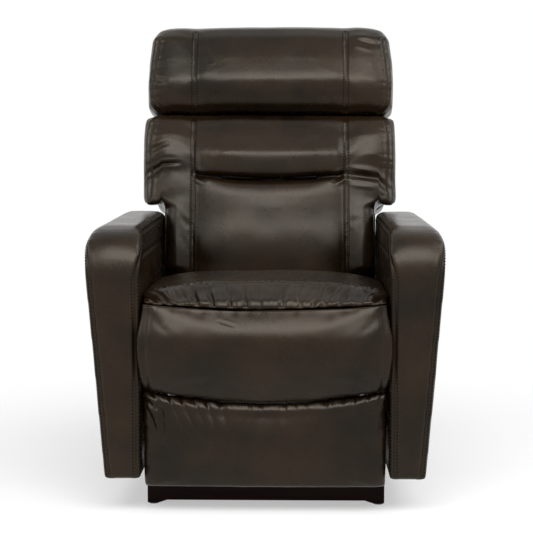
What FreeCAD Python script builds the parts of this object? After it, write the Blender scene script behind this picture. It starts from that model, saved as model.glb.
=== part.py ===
import FreeCAD, Part
import math
import os
import Sketcher

# A padded rocker recliner on a wooden base.
# Front is -Y, up is +Z, the sitter's right hand is -X. The floor is at Z = 0 and the
# rocking axis stands over Y = 0. A "front" size counts forward, so its place is Y = -front.

doc = FreeCAD.newDocument("rocker_recliner")
V = FreeCAD.Vector

# Driving sizes in millimetres and degrees.
SIZES = (
    ("rail_clear", 1),  # wooden base
    ("base_set", 114),
    ("base_rear", 240),
    ("rail_thick", 24),
    ("rail_top", 50),
    ("side_rail_wide", 32),
    ("side_rail_low", 12),
    ("side_rail_top", 75),
    ("foot_wide", 26),
    ("arch_rise", 6),
    ("arch_run", 18),
    ("glide_dia", 22),
    ("glide_thick", 3),
    ("corner_side", 45),
    ("rock_radius", 210),  # curve of the rocker cams
    ("rock_gap", 0.3),
    ("cam_half", 115),
    ("cam_thick", 30),
    ("cam_inset", 1),
    ("plate_top", 322),  # steel side plates
    ("plate_in", 230),
    ("plate_thick", 4),
    ("plate_set", 141),
    ("plate_round", 5),
    ("plate_tail", 85),
    ("leg_wide", 43),
    ("leg_drop", 14.5),
    ("leg_margin", 7),
    ("flange_thick", 4),
    ("shelf_thick", 3),  # spring shelves
    ("shelf_wide", 55),
    ("shelf_half", 75),
    ("shelf_drop", 45),
    ("spring_wire", 5),
    ("spring_coil", 40),
    ("spring_turns", 6),
    ("spring_place", 45),
    ("tube_dia", 25),  # cross tubes
    ("tube_wall", 2),
    ("tube_front", 200),
    ("tube_front_rise", 35),
    ("tube_rear", 40),
    ("tube_rear_rise", 30),
    ("block_low", 190),  # arm mounting blocks
    ("block_high", 250),
    ("block_front", 220),
    ("block_rear", 55),
    ("arm_clear", 4),  # padded arms
    ("arm_foot_wide", 81),
    ("arm_wide", 119),
    ("arm_widest_high", 530),
    ("arm_low", 80),
    ("arm_top", 630),
    ("arm_short", 6),
    ("arm_rear", 245),
    ("arm_wall", 16),
    ("arm_round_out", 72),
    ("arm_round_side", 150),
    ("arm_round_rear", 40),
    ("arm_edge", 4),
    ("cut_past", 5),
    ("arm_round_in", 26),
    ("arm_round_front", 105),
    ("frame_thick", 18),
    ("frame_room", 3),
    ("rod_room", 6),
    ("seat_rail_deep", 40),  # seat frame
    ("seat_rail_wide", 28),
    ("seat_rail_thick", 22),
    ("seat_set", 74),
    ("seat_rear", 78),
    ("wire_dia", 4),
    ("wire_space", 95),
    ("wire_swing", 22),
    ("wire_ends", 10),
    ("wire_room", 1),
    ("seat_clear", 4),  # seat cushion
    ("seat_nose", 446),
    ("seat_face_gap", 4),
    ("seat_tail", 97),
    ("seat_thick", 114),
    ("lip_gap", 0.3),
    ("pad_clear", 6),  # front roll
    ("roll_proud", 9),
    ("hinge_proud", 2),
    ("roll_hinge_high", 462),
    ("roll_long", 207),
    ("roll_thick", 46),
    ("roll_smile", 30),
    ("foot_inset", 15),  # footrest
    ("foot_thick", 68),
    ("foot_low", 60),
    ("foot_high", 244),
    ("foot_slope", 37),
    ("foot_board_thick", 12),
    ("foot_board_inset", 20),
    ("foot_board_low", 70),
    ("foot_board_high", 190),
    ("foot_flange", 28),
    ("lift_set", 166),  # footrest linkage
    ("lift_high", 306),
    ("link_long", 170),
    ("link_wide", 15),
    ("link_thick", 4),
    ("link_space", 1.5),
    ("link_tilt", 3),
    ("link_gap", 1),
    ("link_spread", 5.6),
    ("pin_dia", 9),
    ("pin_play", 0.05),
    ("pin_head_dia", 13),
    ("pin_head_thick", 2),
    ("pin_head_space", 0.5),
    ("rod_front", 115),  # lever drive
    ("rod_dia", 18),
    ("rod_play", 0.05),
    ("crank_long", 45),
    ("crank_wide", 26),
    ("weld_room", 0.02),
    ("lever_inset", 9),
    ("lever_thick", 4),
    ("lever_long", 88),
    ("lever_wide", 24),
    ("grip_thick", 5),
    ("grip_long", 46),
    ("back_tilt", 14),  # reclining back
    ("back_foot", 95),
    ("back_foot_high", 430),
    ("back_pivot", 165),
    ("back_pivot_high", 325),
    ("back_deep", 112),
    ("back_clear", 7),
    ("back_over", 34),
    ("back_step", 234),
    ("back_seam", 194),
    ("back_start", -45),
    ("back_tuck", 286),
    ("back_split", 468),
    ("back_top", 702),
    ("ear_half", 21),
    ("bracket_clear", 8),
    ("post_wide", 28),
    ("post_deep", 38),
    ("post_low", -130),
    ("post_top", 640),
    ("cross_rail_deep", 60),
    ("cover_deep", 94),
    ("cover_wall", 14),
    ("cover_low", -215),
    ("cover_inset", 5),
    ("cover_round", 55),
)
sheet = doc.addObject("Spreadsheet::Sheet", "Sizes")
for number, (alias, value) in enumerate(SIZES, 1):
    sheet.set("A%d" % number, alias)
    sheet.set("B%d" % number, str(value))
    sheet.setAlias("B%d" % number, alias)
doc.recompute()


class Size:
    """A length or angle: its number and the expression over the sheet that gives it."""

    def __init__(self, value, text):
        self.value = float(value)
        self.text = text

    def __float__(self):
        return self.value

    def __add__(self, other):
        other = as_size(other)
        return Size(self.value + other.value, "(%s + %s)" % (self.text, other.text))

    def __sub__(self, other):
        other = as_size(other)
        return Size(self.value - other.value, "(%s - %s)" % (self.text, other.text))

    def __mul__(self, other):
        other = as_size(other)
        return Size(self.value * other.value, "(%s * %s)" % (self.text, other.text))

    def __truediv__(self, other):
        other = as_size(other)
        return Size(self.value / other.value, "(%s / %s)" % (self.text, other.text))

    def __neg__(self):
        return Size(-self.value, "(0 - %s)" % self.text)

    def __radd__(self, other):
        return as_size(other) + self

    def __rsub__(self, other):
        return as_size(other) - self

    def __rmul__(self, other):
        return as_size(other) * self


def as_size(thing):
    if isinstance(thing, Size):
        return thing
    return Size(thing, "%.6f" % thing)


def sine(angle):
    return Size(math.sin(math.radians(angle.value)), "sin(%s)" % angle.text)


def cosine(angle):
    return Size(math.cos(math.radians(angle.value)), "cos(%s)" % angle.text)


def arc_cosine(ratio):
    return Size(math.degrees(math.acos(ratio.value)), "(acos(%s) / 1 deg)" % ratio.text)


class Sheet:
    """Every aliased cell as an attribute."""


s = Sheet()
for alias, value in SIZES:
    setattr(s, alias, Size(sheet.get(alias), "Sizes." + alias))

# Widths from the side plates outward, and fronts from the seat's nose
plate_out = s.plate_in + s.plate_thick
side_rail_in = plate_out + s.rail_clear
s.base_half = side_rail_in + s.side_rail_wide
s.shelf_in = side_rail_in - s.shelf_wide
s.spring_axis = (s.shelf_in + s.plate_in) / 2
s.arm_inner = s.base_half + s.arm_clear
s.arm_foot = s.arm_inner + s.arm_foot_wide
s.arm_widest = s.arm_inner + s.arm_wide
s.lever_in = s.arm_widest - s.lever_inset
s.seat_half = s.arm_inner - s.seat_clear
s.roll_half = s.arm_inner - s.pad_clear
s.foot_half = s.roll_half
s.back_half_low = s.arm_inner - s.back_clear
s.back_half_high = s.arm_inner + s.back_over
s.arm_front = s.seat_nose - s.arm_short
s.roll_hinge = s.seat_nose + s.hinge_proud
s.roll_front = s.seat_nose + s.roll_proud
s.roll_back = s.roll_hinge - s.roll_thick
s.seat_face = s.roll_back - s.seat_face_gap
s.foot_front = s.roll_front - s.foot_inset
s.foot_back = s.foot_front - s.foot_thick
s.base_front = s.seat_nose - s.base_set
s.plate_front = s.seat_nose - s.plate_set
s.leg_rear = s.plate_front - s.leg_wide
s.seat_front = s.seat_nose - s.seat_set
s.lift_front = s.seat_nose - s.lift_set

# Pivots of the stored footrest linkage, as (front, height): its bars hang side by side, a gap apart
s.link_stored = arc_cosine((s.link_wide + s.link_gap) / s.link_long)
down = s.link_tilt - s.link_stored
up = s.link_tilt + s.link_stored


def along(start, angle, reach):
    return (start[0] + reach * cosine(angle), start[1] + reach * sine(angle))


step = s.link_long * cosine(s.link_stored)
half = s.link_long / 2
top_a = (s.lift_front, s.lift_high)
top_b = along(top_a, s.link_tilt, step)
top_c = along(top_b, s.link_tilt, step)
low_a = along(top_a, s.link_tilt - 90, s.link_long * sine(s.link_stored))
low_b = along(low_a, s.link_tilt, step)
low_c = along(low_b, s.link_tilt, step)
tip = along(top_c, down, half)

# The side plates' lower edges follow the lowest pivot, and what stands on them follows the plates
leg_low = low_a[1] - s.pin_dia / 2 - s.leg_margin
s.plate_low = leg_low + s.leg_drop
s.tube_front_high = s.plate_low + s.tube_front_rise
s.tube_rear_high = s.plate_low + s.tube_rear_rise

NODES = []


def keep(node, label):
    node.Label = label
    NODES.append(node)
    return node


def bind(thing, **sizes):
    for name, value in sizes.items():
        thing.setExpression(name, as_size(value).text)


def place(thing, x, y, z, turn=None):
    """Puts a piece at a bound point; turn is a bound angle about X."""
    if turn is not None:
        thing.Placement = FreeCAD.Placement(V(0, 0, 0), FreeCAD.Rotation(V(1, 0, 0), float(turn)))
        thing.setExpression("Placement.Rotation.Angle", as_size(turn).text)
    for axis, value in (("x", x), ("y", y), ("z", z)):
        thing.setExpression("Placement.Base." + axis, as_size(value).text)
    return thing


def box(label, x, y, z):
    """A board between two bounds on each axis."""
    made = doc.addObject("Part::Box", label)
    bind(made, Length=x[1] - x[0], Width=y[1] - y[0], Height=z[1] - z[0])
    return place(made, x[0], y[0], z[0])


def across(label, x, y, z, radius):
    """A round bar along X between two bounds."""
    made = doc.addObject("Part::Cylinder", label)
    bind(made, Radius=radius, Height=x[1] - x[0])
    made.Placement = FreeCAD.Placement(V(0, 0, 0), FreeCAD.Rotation(V(0, 1, 0), 90))
    return place(made, x[0], y, z)


def upright(label, x, y, z, radius):
    """A round bar along Z between two bounds."""
    made = doc.addObject("Part::Cylinder", label)
    bind(made, Radius=radius, Height=z[1] - z[0])
    return place(made, x, y, z[0])


def fuse(label, shapes):
    made = doc.addObject("Part::MultiFuse", label)
    made.Shapes = shapes
    made.Refine = True
    return made


def cut(label, base, tools):
    made = doc.addObject("Part::Cut", label)
    made.Base = base
    made.Tool = tools[0] if len(tools) == 1 else fuse(label + "_tools", tools)
    made.Refine = True
    return made


def group(label, shapes):
    made = doc.addObject("Part::Compound", label)
    made.Links = shapes
    return made


def flip(side, inner, outer):
    """Bounds along X for the left (1) or the right (-1) copy of a piece."""
    inner = as_size(inner)
    outer = as_size(outer)
    return (inner, outer) if side > 0 else (-outer, -inner)


SIDES = ((1, "left"), (-1, "right"))


def profile_body(label, plane, points, holes, depth, rounding=None):
    """A padded sketch: a closed outline with bound corners, and round holes in it."""
    body = doc.addObject("PartDesign::Body", label)
    sketch = body.newObject("Sketcher::SketchObject", label + "_outline")
    support = [f for f in body.Origin.OriginFeatures if f.Role == plane][0]
    sketch.AttachmentSupport = [(support, "")]
    sketch.MapMode = "FlatFace"
    count = len(points)
    spots = [V(float(a), float(b), 0) for a, b in points]
    for i in range(count):
        sketch.addGeometry(Part.LineSegment(spots[i], spots[(i + 1) % count]), False)
    for i in range(count):
        sketch.addConstraint(Sketcher.Constraint("Coincident", i, 2, (i + 1) % count, 1))
    for i, (a, b) in enumerate(points):
        for kind, value in (("DistanceX", a), ("DistanceY", b)):
            named = sketch.addConstraint(Sketcher.Constraint(kind, -1, 1, i, 1, float(value)))
            sketch.renameConstraint(named, "%s_%d" % (kind, i))
            sketch.setExpression("Constraints.%s_%d" % (kind, i), as_size(value).text)
    for i, (a, b, radius) in enumerate(holes):
        circle = Part.Circle(V(float(a), float(b), 0), V(0, 0, 1), float(radius))
        ring = sketch.addGeometry(circle, False)
        for kind, value in (("DistanceX", a), ("DistanceY", b)):
            named = sketch.addConstraint(Sketcher.Constraint(kind, -1, 1, ring, 3, float(value)))
            sketch.renameConstraint(named, "hole_%s_%d" % (kind, i))
            sketch.setExpression("Constraints.hole_%s_%d" % (kind, i), as_size(value).text)
        named = sketch.addConstraint(Sketcher.Constraint("Radius", ring, float(radius)))
        sketch.renameConstraint(named, "hole_radius_%d" % i)
        sketch.setExpression("Constraints.hole_radius_%d" % i, as_size(radius).text)
    pad = body.newObject("PartDesign::Pad", label + "_pad")
    pad.Profile = sketch
    bind(pad, Length=depth)
    body.Tip = pad
    doc.recompute()
    if rounding is not None:
        wanted = []
        for i, edge in enumerate(pad.Shape.Edges, 1):
            straight = edge.Curve.TypeId == "Part::GeomLine"
            if straight and abs(edge.Length - float(depth)) < 0.001 and not is_across(edge, pad.Shape):
                wanted.append("Edge%d" % i)
        fillet = body.newObject("PartDesign::Fillet", label + "_corners")
        fillet.Base = (pad, wanted)
        bind(fillet, Radius=rounding)
        body.Tip = fillet
    return body


def is_across(edge, shape):
    """True for an edge that doesn't run through the pad's thickness, or is a hole's seam."""
    thin = min(range(3), key=lambda a: (shape.BoundBox.XLength, shape.BoundBox.YLength, shape.BoundBox.ZLength)[a])
    way = edge.Vertexes[1].Point - edge.Vertexes[0].Point
    if abs(abs(way[thin]) - way.Length) > 0.001:
        return True
    faces = [f for f in shape.Faces if any(e.isSame(edge) for e in f.Edges)]
    return any(f.Surface.TypeId != "Part::GeomPlane" for f in faces)


# Wooden base
rail_rear_face = -s.base_front + s.rail_thick
arch_start = s.base_half - s.foot_wide
arch_full = arch_start - s.arch_run
arch_high = s.glide_thick + s.arch_rise
front_points = [
    (-s.base_half, s.glide_thick),
    (-arch_start, s.glide_thick),
    (-arch_full, arch_high),
    (arch_full, arch_high),
    (arch_start, s.glide_thick),
    (s.base_half, s.glide_thick),
    (s.base_half, s.rail_top),
    (-s.base_half, s.rail_top),
]
front_rail = profile_body("base_front_rail", "XZ_Plane", front_points, [], s.rail_thick)
place(front_rail, 0, rail_rear_face, 0)
keep(front_rail, "base_front_rail")
rear_face = s.base_rear - s.rail_thick
rear_rail = box("base_rear_rail", (-s.base_half, s.base_half), (rear_face, s.base_rear), (s.glide_thick, s.rail_top))
keep(rear_rail, "base_rear_rail")
corner_in = side_rail_in - s.corner_side
corners = []
glides = []
for side, name in SIDES:
    label = "base_side_rail_" + name
    rail = box(label, flip(side, side_rail_in, s.base_half), (rail_rear_face, rear_face),
               (s.side_rail_low, s.side_rail_top))
    keep(rail, label)
    bounds = flip(side, corner_in, side_rail_in)
    tall = (s.side_rail_low, s.rail_top)
    corners.append(box("corner_front_" + name, bounds, (rail_rear_face, rail_rear_face + s.corner_side), tall))
    corners.append(box("corner_rear_" + name, bounds, (rear_face - s.corner_side, rear_face), tall))
    glide_x = side * (s.base_half - s.foot_wide / 2)
    for end, glide_y in (("front", rail_rear_face - s.rail_thick / 2), ("rear", rear_face + s.rail_thick / 2)):
        glides.append(upright("glide_%s_%s" % (end, name), glide_x, glide_y, (as_size(0), s.glide_thick),
                              s.glide_dia / 2))
keep(group("base_corner_blocks", corners), "base_corner_blocks")
keep(group("floor_glides", glides), "floor_glides")

# Spring shelves on the base and the coil springs between them and the side plates
shelf_low = s.side_rail_top - s.shelf_thick
shelf_high = s.plate_low - s.shelf_thick
for side, name in SIDES:
    label = "spring_bracket_" + name
    deck = box(label + "_deck", flip(side, s.shelf_in, side_rail_in), (-s.shelf_half, s.shelf_half),
               (shelf_low, s.side_rail_top))
    skirt = box(label + "_skirt", flip(side, side_rail_in - s.shelf_thick, side_rail_in),
                (-s.shelf_half, s.shelf_half), (s.side_rail_top - s.shelf_drop, s.side_rail_top))
    keep(fuse(label, [deck, skirt]), label)


def coil(x, y, low, high):
    """One spring as an unbroken round wire wound between two heights."""
    wire = s.spring_wire.value
    radius = (s.spring_coil.value - wire) / 2
    climb = high - low - wire
    pitch = climb / s.spring_turns.value
    path = Part.makeHelix(pitch, climb, radius)
    ring = Part.Wire(Part.makeCircle(wire / 2, V(radius, 0, 0), V(0, 1, 0)))
    made = Part.Wire(path.Edges).makePipeShell([ring], True, True)
    made.translate(V(x, y, low + wire / 2))
    print("spring gap between turns %.2f" % (pitch - wire))
    return made


for side, name in SIDES:
    springs = doc.addObject("Part::Feature", "rocker_springs_" + name)
    pair = []
    for end in (-1, 1):
        pair.append(coil(side * s.spring_axis.value, end * s.spring_place.value, s.side_rail_top.value,
                         shelf_high.value))
    springs.Shape = Part.makeCompound(pair)
    keep(springs, "rocker_springs_" + name)

# Rocker cams: wooden blocks with a round underside
rock_high = s.side_rail_top + s.rock_radius
cam_in = side_rail_in + s.cam_inset
cam_out = cam_in + s.cam_thick
for side, name in SIDES:
    label = "rocker_cam_" + name
    bounds = flip(side, cam_in, cam_out)
    curve = across(label + "_curve", bounds, as_size(0), rock_high, s.rock_radius - s.rock_gap)
    blank = box(label + "_blank", bounds, (-s.cam_half, s.cam_half), (s.side_rail_low, s.plate_low))
    cam = doc.addObject("Part::Common", label)
    cam.Base = curve
    cam.Tool = blank
    keep(cam, label)

# Layers of the linkage, counted inward from the side plates
one_out = s.plate_in - s.link_space
one_in = one_out - s.link_thick
two_out = one_in - s.link_space
two_in = two_out - s.link_thick
three_out = two_in - s.link_space
three_in = three_out - s.link_thick
hole = s.pin_dia / 2 + s.pin_play

# Side plates with flanges, spring shelf, slot and pivot studs
ear_front = s.back_pivot - s.ear_half
ear_rear = s.back_pivot + s.ear_half
ear_top = s.back_pivot_high + s.ear_half
ear_low = s.back_pivot_high - 3 * s.ear_half
flange_out = cam_out
plate_points = [
    (-s.plate_front, leg_low),
    (-s.leg_rear, leg_low),
    (-s.leg_rear, s.plate_low),
    (s.plate_tail, s.plate_low),
    (ear_rear, ear_low),
    (ear_rear, ear_top),
    (ear_front, ear_top),
    (ear_front, s.plate_top),
    (-s.plate_front, s.plate_top),
]
seat_low = s.plate_top + s.flange_thick
slot_long = s.link_long * (sine(s.link_stored) - sine(s.link_spread))
for side, name in SIDES:
    label = "side_plate_" + name
    bounds = flip(side, s.plate_in, plate_out)
    rod_hole = (-s.rod_front, s.lift_high, s.rod_dia / 2 + s.rod_play)
    blank = profile_body(label + "_sheet", "YZ_Plane", plate_points, [rod_hole], s.plate_thick, s.plate_round)
    place(blank, bounds[0], 0, 0)
    slot_y = -low_a[0]
    slot = doc.addObject("Part::Box", label + "_slot")
    bind(slot, Length=s.plate_thick, Width=hole * 2, Height=slot_long)
    place(slot, bounds[0], slot_y - hole * cosine(s.link_tilt), low_a[1] + hole * sine(s.link_tilt), -s.link_tilt)
    slot_foot = across(label + "_slot_foot", bounds, slot_y, low_a[1], hole)
    slot_head = across(label + "_slot_head", bounds, slot_y + slot_long * sine(s.link_tilt),
                       low_a[1] + slot_long * cosine(s.link_tilt), hole)
    sheet_cut = cut(label + "_cut", blank, [slot, slot_foot, slot_head])
    low_flange = box(label + "_low_flange", flip(side, plate_out, flange_out), (-s.cam_half, s.shelf_half),
                     (s.plate_low, s.plate_low + s.flange_thick))
    top_flange = box(label + "_top_flange", flip(side, s.plate_in, plate_out + s.seat_rail_wide),
                     (-s.plate_front, s.seat_rear), (s.plate_top, seat_low))
    shelf = box(label + "_shelf", flip(side, s.shelf_in, plate_out), (-s.shelf_half, s.shelf_half),
                (shelf_high, s.plate_low))
    lift_stud = across(label + "_lift_stud", flip(side, two_in, s.plate_in), -top_a[0], top_a[1], s.pin_dia / 2)
    back_stud = across(label + "_back_stud", flip(side, one_in, s.plate_in), s.back_pivot, s.back_pivot_high,
                       s.pin_dia / 2)
    keep(fuse(label, [sheet_cut, low_flange, top_flange, shelf, lift_stud, back_stud]), label)

# Cross tubes between the side plates
for end, tube_y, tube_z in (("front", -s.tube_front, s.tube_front_high), ("rear", s.tube_rear, s.tube_rear_high)):
    label = "cross_tube_" + end
    bounds = (-s.plate_in, s.plate_in)
    skin = across(label + "_skin", bounds, tube_y, tube_z, s.tube_dia / 2)
    bore = across(label + "_bore", bounds, tube_y, tube_z, s.tube_dia / 2 - s.tube_wall)
    keep(cut(label, skin, [bore]), label)

# Arm mounting blocks, arm frames and the seat frame
frame_in = s.arm_inner + s.arm_wall
seat_high = seat_low + s.seat_rail_deep
seat_rail_out = plate_out + s.seat_rail_wide
rod_clear = s.rod_dia / 2 + s.rod_room
for side, name in SIDES:
    label = "arm_block_" + name
    keep(box(label, flip(side, plate_out, s.arm_inner), (-s.block_front, s.block_rear), (s.block_low, s.block_high)),
         label)
    label = "arm_frame_" + name
    bounds = flip(side, frame_in, frame_in + s.frame_thick)
    panel = box(label + "_panel", bounds,
                (-s.arm_front + s.arm_wall + s.frame_room, s.arm_rear - s.arm_wall - s.frame_room),
                (s.arm_low + s.frame_room, s.arm_top - s.arm_round_front - s.frame_room))
    if side < 0:
        opening = across(label + "_opening", bounds, -s.rod_front, s.lift_high, rod_clear)
        panel = cut(label, panel, [opening])
    keep(panel, label)
    label = "seat_rail_" + name
    keep(box(label, flip(side, plate_out, seat_rail_out), (-s.seat_front, s.seat_rear), (seat_low, seat_high)), label)
between = (-plate_out, plate_out)
front_rail_y = (-s.seat_front, -s.seat_front + s.seat_rail_thick)
keep(box("seat_rail_front", between, front_rail_y, (seat_low, seat_high)), "seat_rail_front")
rear_rail_y = (s.seat_rear - s.seat_rail_thick, s.seat_rear)
keep(box("seat_rail_rear", between, rear_rail_y, (seat_low, seat_high)), "seat_rail_rear")


def rounded(points, radii, closed=True):
    """Lines and arcs along an outline whose corners are rounded."""
    count = len(points)
    starts = []
    ends = []
    arcs = []
    for i, corner in enumerate(points):
        if not closed and i in (0, count - 1):
            starts.append(corner)
            ends.append(corner)
            arcs.append(None)
            continue
        back = points[i - 1] - corner
        ahead = points[(i + 1) % count] - corner
        turn = back.getAngle(ahead)
        reach = min(radii[i] / math.tan(turn / 2), 0.46 * back.Length, 0.46 * ahead.Length)
        radius = reach * math.tan(turn / 2)
        back.normalize()
        ahead.normalize()
        middle = back + ahead
        middle.normalize()
        first = corner + back * reach
        last = corner + ahead * reach
        crown = corner + middle * (radius / math.sin(turn / 2) - radius)
        starts.append(first)
        ends.append(last)
        arcs.append(Part.Arc(first, crown, last).toShape())
    edges = []
    for i in range(count):
        if arcs[i] is not None:
            edges.append(arcs[i])
        if closed or i < count - 1:
            edges.append(Part.LineSegment(ends[i], starts[(i + 1) % count]).toShape())
    return Part.Wire(edges)


def slab(corners, radii, spot, reach):
    """A rounded outline pulled straight along reach; spot turns a corner pair into a point."""
    return Part.Face(rounded([spot(a, b) for a, b in corners], radii)).extrude(reach)


def soft(label, shape, placement=None):
    """Keeps a padded form that has no plain feature for its shape."""
    made = doc.addObject("Part::Feature", label)
    made.Shape = shape
    if placement is not None:
        made.Placement = placement
    return keep(made, label)


# Seat springs: wires that wind from side to side between the front and rear rails
def seat_wire(x):
    start = front_rail_y[0].value + s.seat_rail_thick.value / 2
    finish = rear_rail_y[0].value + s.seat_rail_thick.value / 2
    high = seat_high.value + s.wire_dia.value / 2
    bends = int(s.wire_ends.value)
    stride = (finish - start) / (2 * bends)
    points = [V(x, start, high)]
    way = 1
    for i in range(bends):
        near = start + (2 * i + 0.5) * stride
        points.append(V(x + way * s.wire_swing.value, near, high))
        points.append(V(x + way * s.wire_swing.value, near + stride, high))
        way = -way
    points.append(V(x, finish, high))
    path = rounded(points, [stride * 0.45] * len(points), False)
    first = path.Edges[0]
    ring = Part.makeCircle(s.wire_dia.value / 2, points[0], first.tangentAt(first.FirstParameter))
    return path.makePipeShell([Part.Wire(ring)], True, False)


wires = [seat_wire(i * s.wire_space.value) for i in range(-2, 3)]
soft("seat_springs", Part.makeCompound(wires))


# Padded arms: a hollow cover with an open underside
def arm_solid(side, gone, low):
    """The arm's form, drawn in by a wall."""
    inner = s.arm_inner.value + gone
    foot = s.arm_foot.value - gone
    wide = s.arm_widest.value - gone
    top = s.arm_top.value - gone
    front = -s.arm_front.value + gone
    rear = s.arm_rear.value - gone
    past = s.cut_past.value
    crown = top + past
    corners = [(inner, low), (foot, low), (wide, s.arm_widest_high.value), (wide, crown), (inner, crown)]
    edge = s.arm_edge.value
    radii = [edge, edge, s.arm_round_side.value, s.arm_round_out.value - gone, s.arm_round_in.value - gone]
    cross = slab(corners, radii, lambda a, b: V(side * a, front - past, b), V(0, rear - front + 2 * past, 0))
    corners = [(front, low - past), (rear, low - past), (rear, top), (front, top)]
    radii = [edge, edge, s.arm_round_rear.value - gone, s.arm_round_front.value - gone]
    far = side * (wide + past)
    length = slab(corners, radii, lambda a, b: V(far, a, b), V(-side * (wide - inner + 2 * past), 0, 0))
    return cross.common(length)


for side, name in SIDES:
    shell = arm_solid(side, 0, s.arm_low.value).cut(arm_solid(side, s.arm_wall.value, s.arm_low.value - 20))
    if side < 0:
        start = V(-s.arm_widest.value, -s.rod_front.value, s.lift_high.value)
        shell = shell.cut(Part.makeCylinder(rod_clear.value, s.arm_wide.value, start, V(1, 0, 0)))
    soft("arm_cover_" + name, shell)


def across_loft(outline, places):
    """A padded form ruled through outlines that stand across X; outline gives corners and radii."""
    wires = []
    for x in places:
        corners, radii = outline(x)
        wires.append(rounded([V(x, -front, high) for front, high in corners], radii))
    return Part.makeLoft(wires, True, True)


def spread(wide):
    """Where the outlines of a pad of this half width stand."""
    half_list = [wide, wide - 5, wide - 20, 0.72 * wide, 0.36 * wide]
    return [-x for x in half_list] + [0] + half_list[::-1]


def edge_fall(x, wide, deep):
    """How far a padded face falls back towards the ends of the pad."""
    near = abs(x) / wide
    left = wide - abs(x)
    corner = max(0.0, 1 - left / 20.0) ** 2
    return deep * (0.35 * near ** 2 + 0.65 * corner)


# Seat cushion with a crowned top and a lip over the front roll
def seat_outline(x):
    wide = s.seat_half.value
    low = seat_high.value + s.wire_dia.value + s.wire_room.value
    top = low + s.seat_thick.value - edge_fall(x, wide, 11)
    lip = s.roll_hinge_high.value + s.lip_gap.value
    nose = s.seat_nose.value - edge_fall(x, wide, 10)
    face = s.seat_face.value
    tail = -s.seat_tail.value
    middle = (nose + tail) / 2
    corners = [(face, low), (face, lip), (nose, lip), (nose - 4, top - 4), (middle, top + 3), (tail + 30, top - 8),
               (tail, top - 34), (tail, low)]
    return corners, [8, 3, 3, 10, 400, 30, 24, 8]


soft("seat_cushion", across_loft(seat_outline, spread(s.seat_half.value)))


# Front roll: a wedge shaped pad hung from the front of the seat
def roll_outline(x):
    wide = s.roll_half.value
    hinge = s.roll_hinge.value
    high = s.roll_hinge_high.value
    front = s.roll_front.value - edge_fall(x, wide, 12)
    low = high - s.roll_long.value + s.roll_smile.value * (x / wide) ** 2
    back = s.roll_back.value
    thin = 18
    corners = [(hinge - 2, high), (front - 3, high - 8), (front, high - 150), (front - 7, low + 12),
               (front - 18, low), (front - thin - 5, low + 3), (back + 15, high - 112), (back, high - 22),
               (back + 4, high - 4)]
    return corners, [2, 6, 60, 5, 4, 2, 60, 10, 3]


soft("front_roll", across_loft(roll_outline, spread(s.roll_half.value)))


# Footrest pad with the same curve along its top edge, and its board
def foot_outline(x):
    wide = s.foot_half.value
    rise = s.roll_smile.value * (x / wide) ** 2
    front = s.foot_front.value - edge_fall(x, wide, 14)
    back = s.foot_back.value
    low = s.foot_low.value
    high = s.foot_high.value + rise
    slope = s.foot_slope.value
    corners = [(back, low), (front - 8, low), (front, low + 16), (front + 0.5, high - 90), (front, high - 27),
               (front - 9, high), (back + 3, high - slope), (back, high - slope - 5)]
    return corners, [4, 8, 14, 300, 14, 6, 3, 2]


soft("footrest_pad", across_loft(foot_outline, spread(s.foot_half.value)))
board_half = s.foot_half - s.foot_board_inset
board_back = s.foot_back - s.foot_board_thick
keep(box("footrest_board", (-board_half, board_half), (-s.foot_back, -board_back),
         (s.foot_board_low, s.foot_board_high)), "footrest_board")


# Footrest linkage: flat bars pinned to each other in layers beside the side plates
def bar(label, side, layer, start, angle, reach, holes=(), studs=(), slot_pins=()):
    """A bar from start along angle; holes, studs and slot pins are distances along it."""
    bounds = flip(side, layer[0], layer[1])
    flat = doc.addObject("Part::Box", label + "_flat")
    bind(flat, Length=layer[1] - layer[0], Width=s.link_wide, Height=reach)
    place(flat, bounds[0], -s.link_wide / 2, 0)
    zero = as_size(0)
    pieces = [flat]
    for spot, end in ((zero, "root"), (reach, "tip")):
        pieces.append(across("%s_%s" % (label, end), bounds, zero, spot, s.link_wide / 2))
    for i, spot in enumerate(studs):
        shank = flip(side, two_in - s.pin_head_space, layer[0])
        head = flip(side, two_in - s.pin_head_space - s.pin_head_thick, two_in - s.pin_head_space)
        pieces.append(across("%s_stud_%d" % (label, i), shank, zero, as_size(spot), s.pin_dia / 2))
        pieces.append(across("%s_head_%d" % (label, i), head, zero, as_size(spot), s.pin_head_dia / 2))
    for i, spot in enumerate(slot_pins):
        shank = flip(side, layer[1], plate_out)
        pieces.append(across("%s_slot_pin_%d" % (label, i), shank, zero, as_size(spot), s.pin_dia / 2))
    made = fuse(label + "_whole", pieces) if holes else fuse(label, pieces)
    if holes:
        drills = []
        for i, spot in enumerate(holes):
            drills.append(across("%s_hole_%d" % (label, i), bounds, zero, as_size(spot), hole))
        made = cut(label, made, drills)
    place(made, 0, -start[0], start[1], 90 - angle)
    return keep(made, label)


layer_one = (one_in, one_out)
layer_two = (two_in, two_out)
layer_three = (three_in, three_out)
none = as_size(0)
full = s.link_long
for side, name in SIDES:
    bar("lift_link_" + name, side, layer_two, top_a, down, full, [none, s.crank_long, half, full])
    bar("tail_link_" + name, side, layer_one, low_a, up, full, [], [half, full], [none])
    bar("second_link_" + name, side, layer_one, low_b, up, full, [], [none, half, full])
    bar("third_link_" + name, side, layer_two, top_b, down, full, [none, half, full])
    bar("short_link_" + name, side, layer_one, low_c, up, half, [], [none, half])

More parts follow.
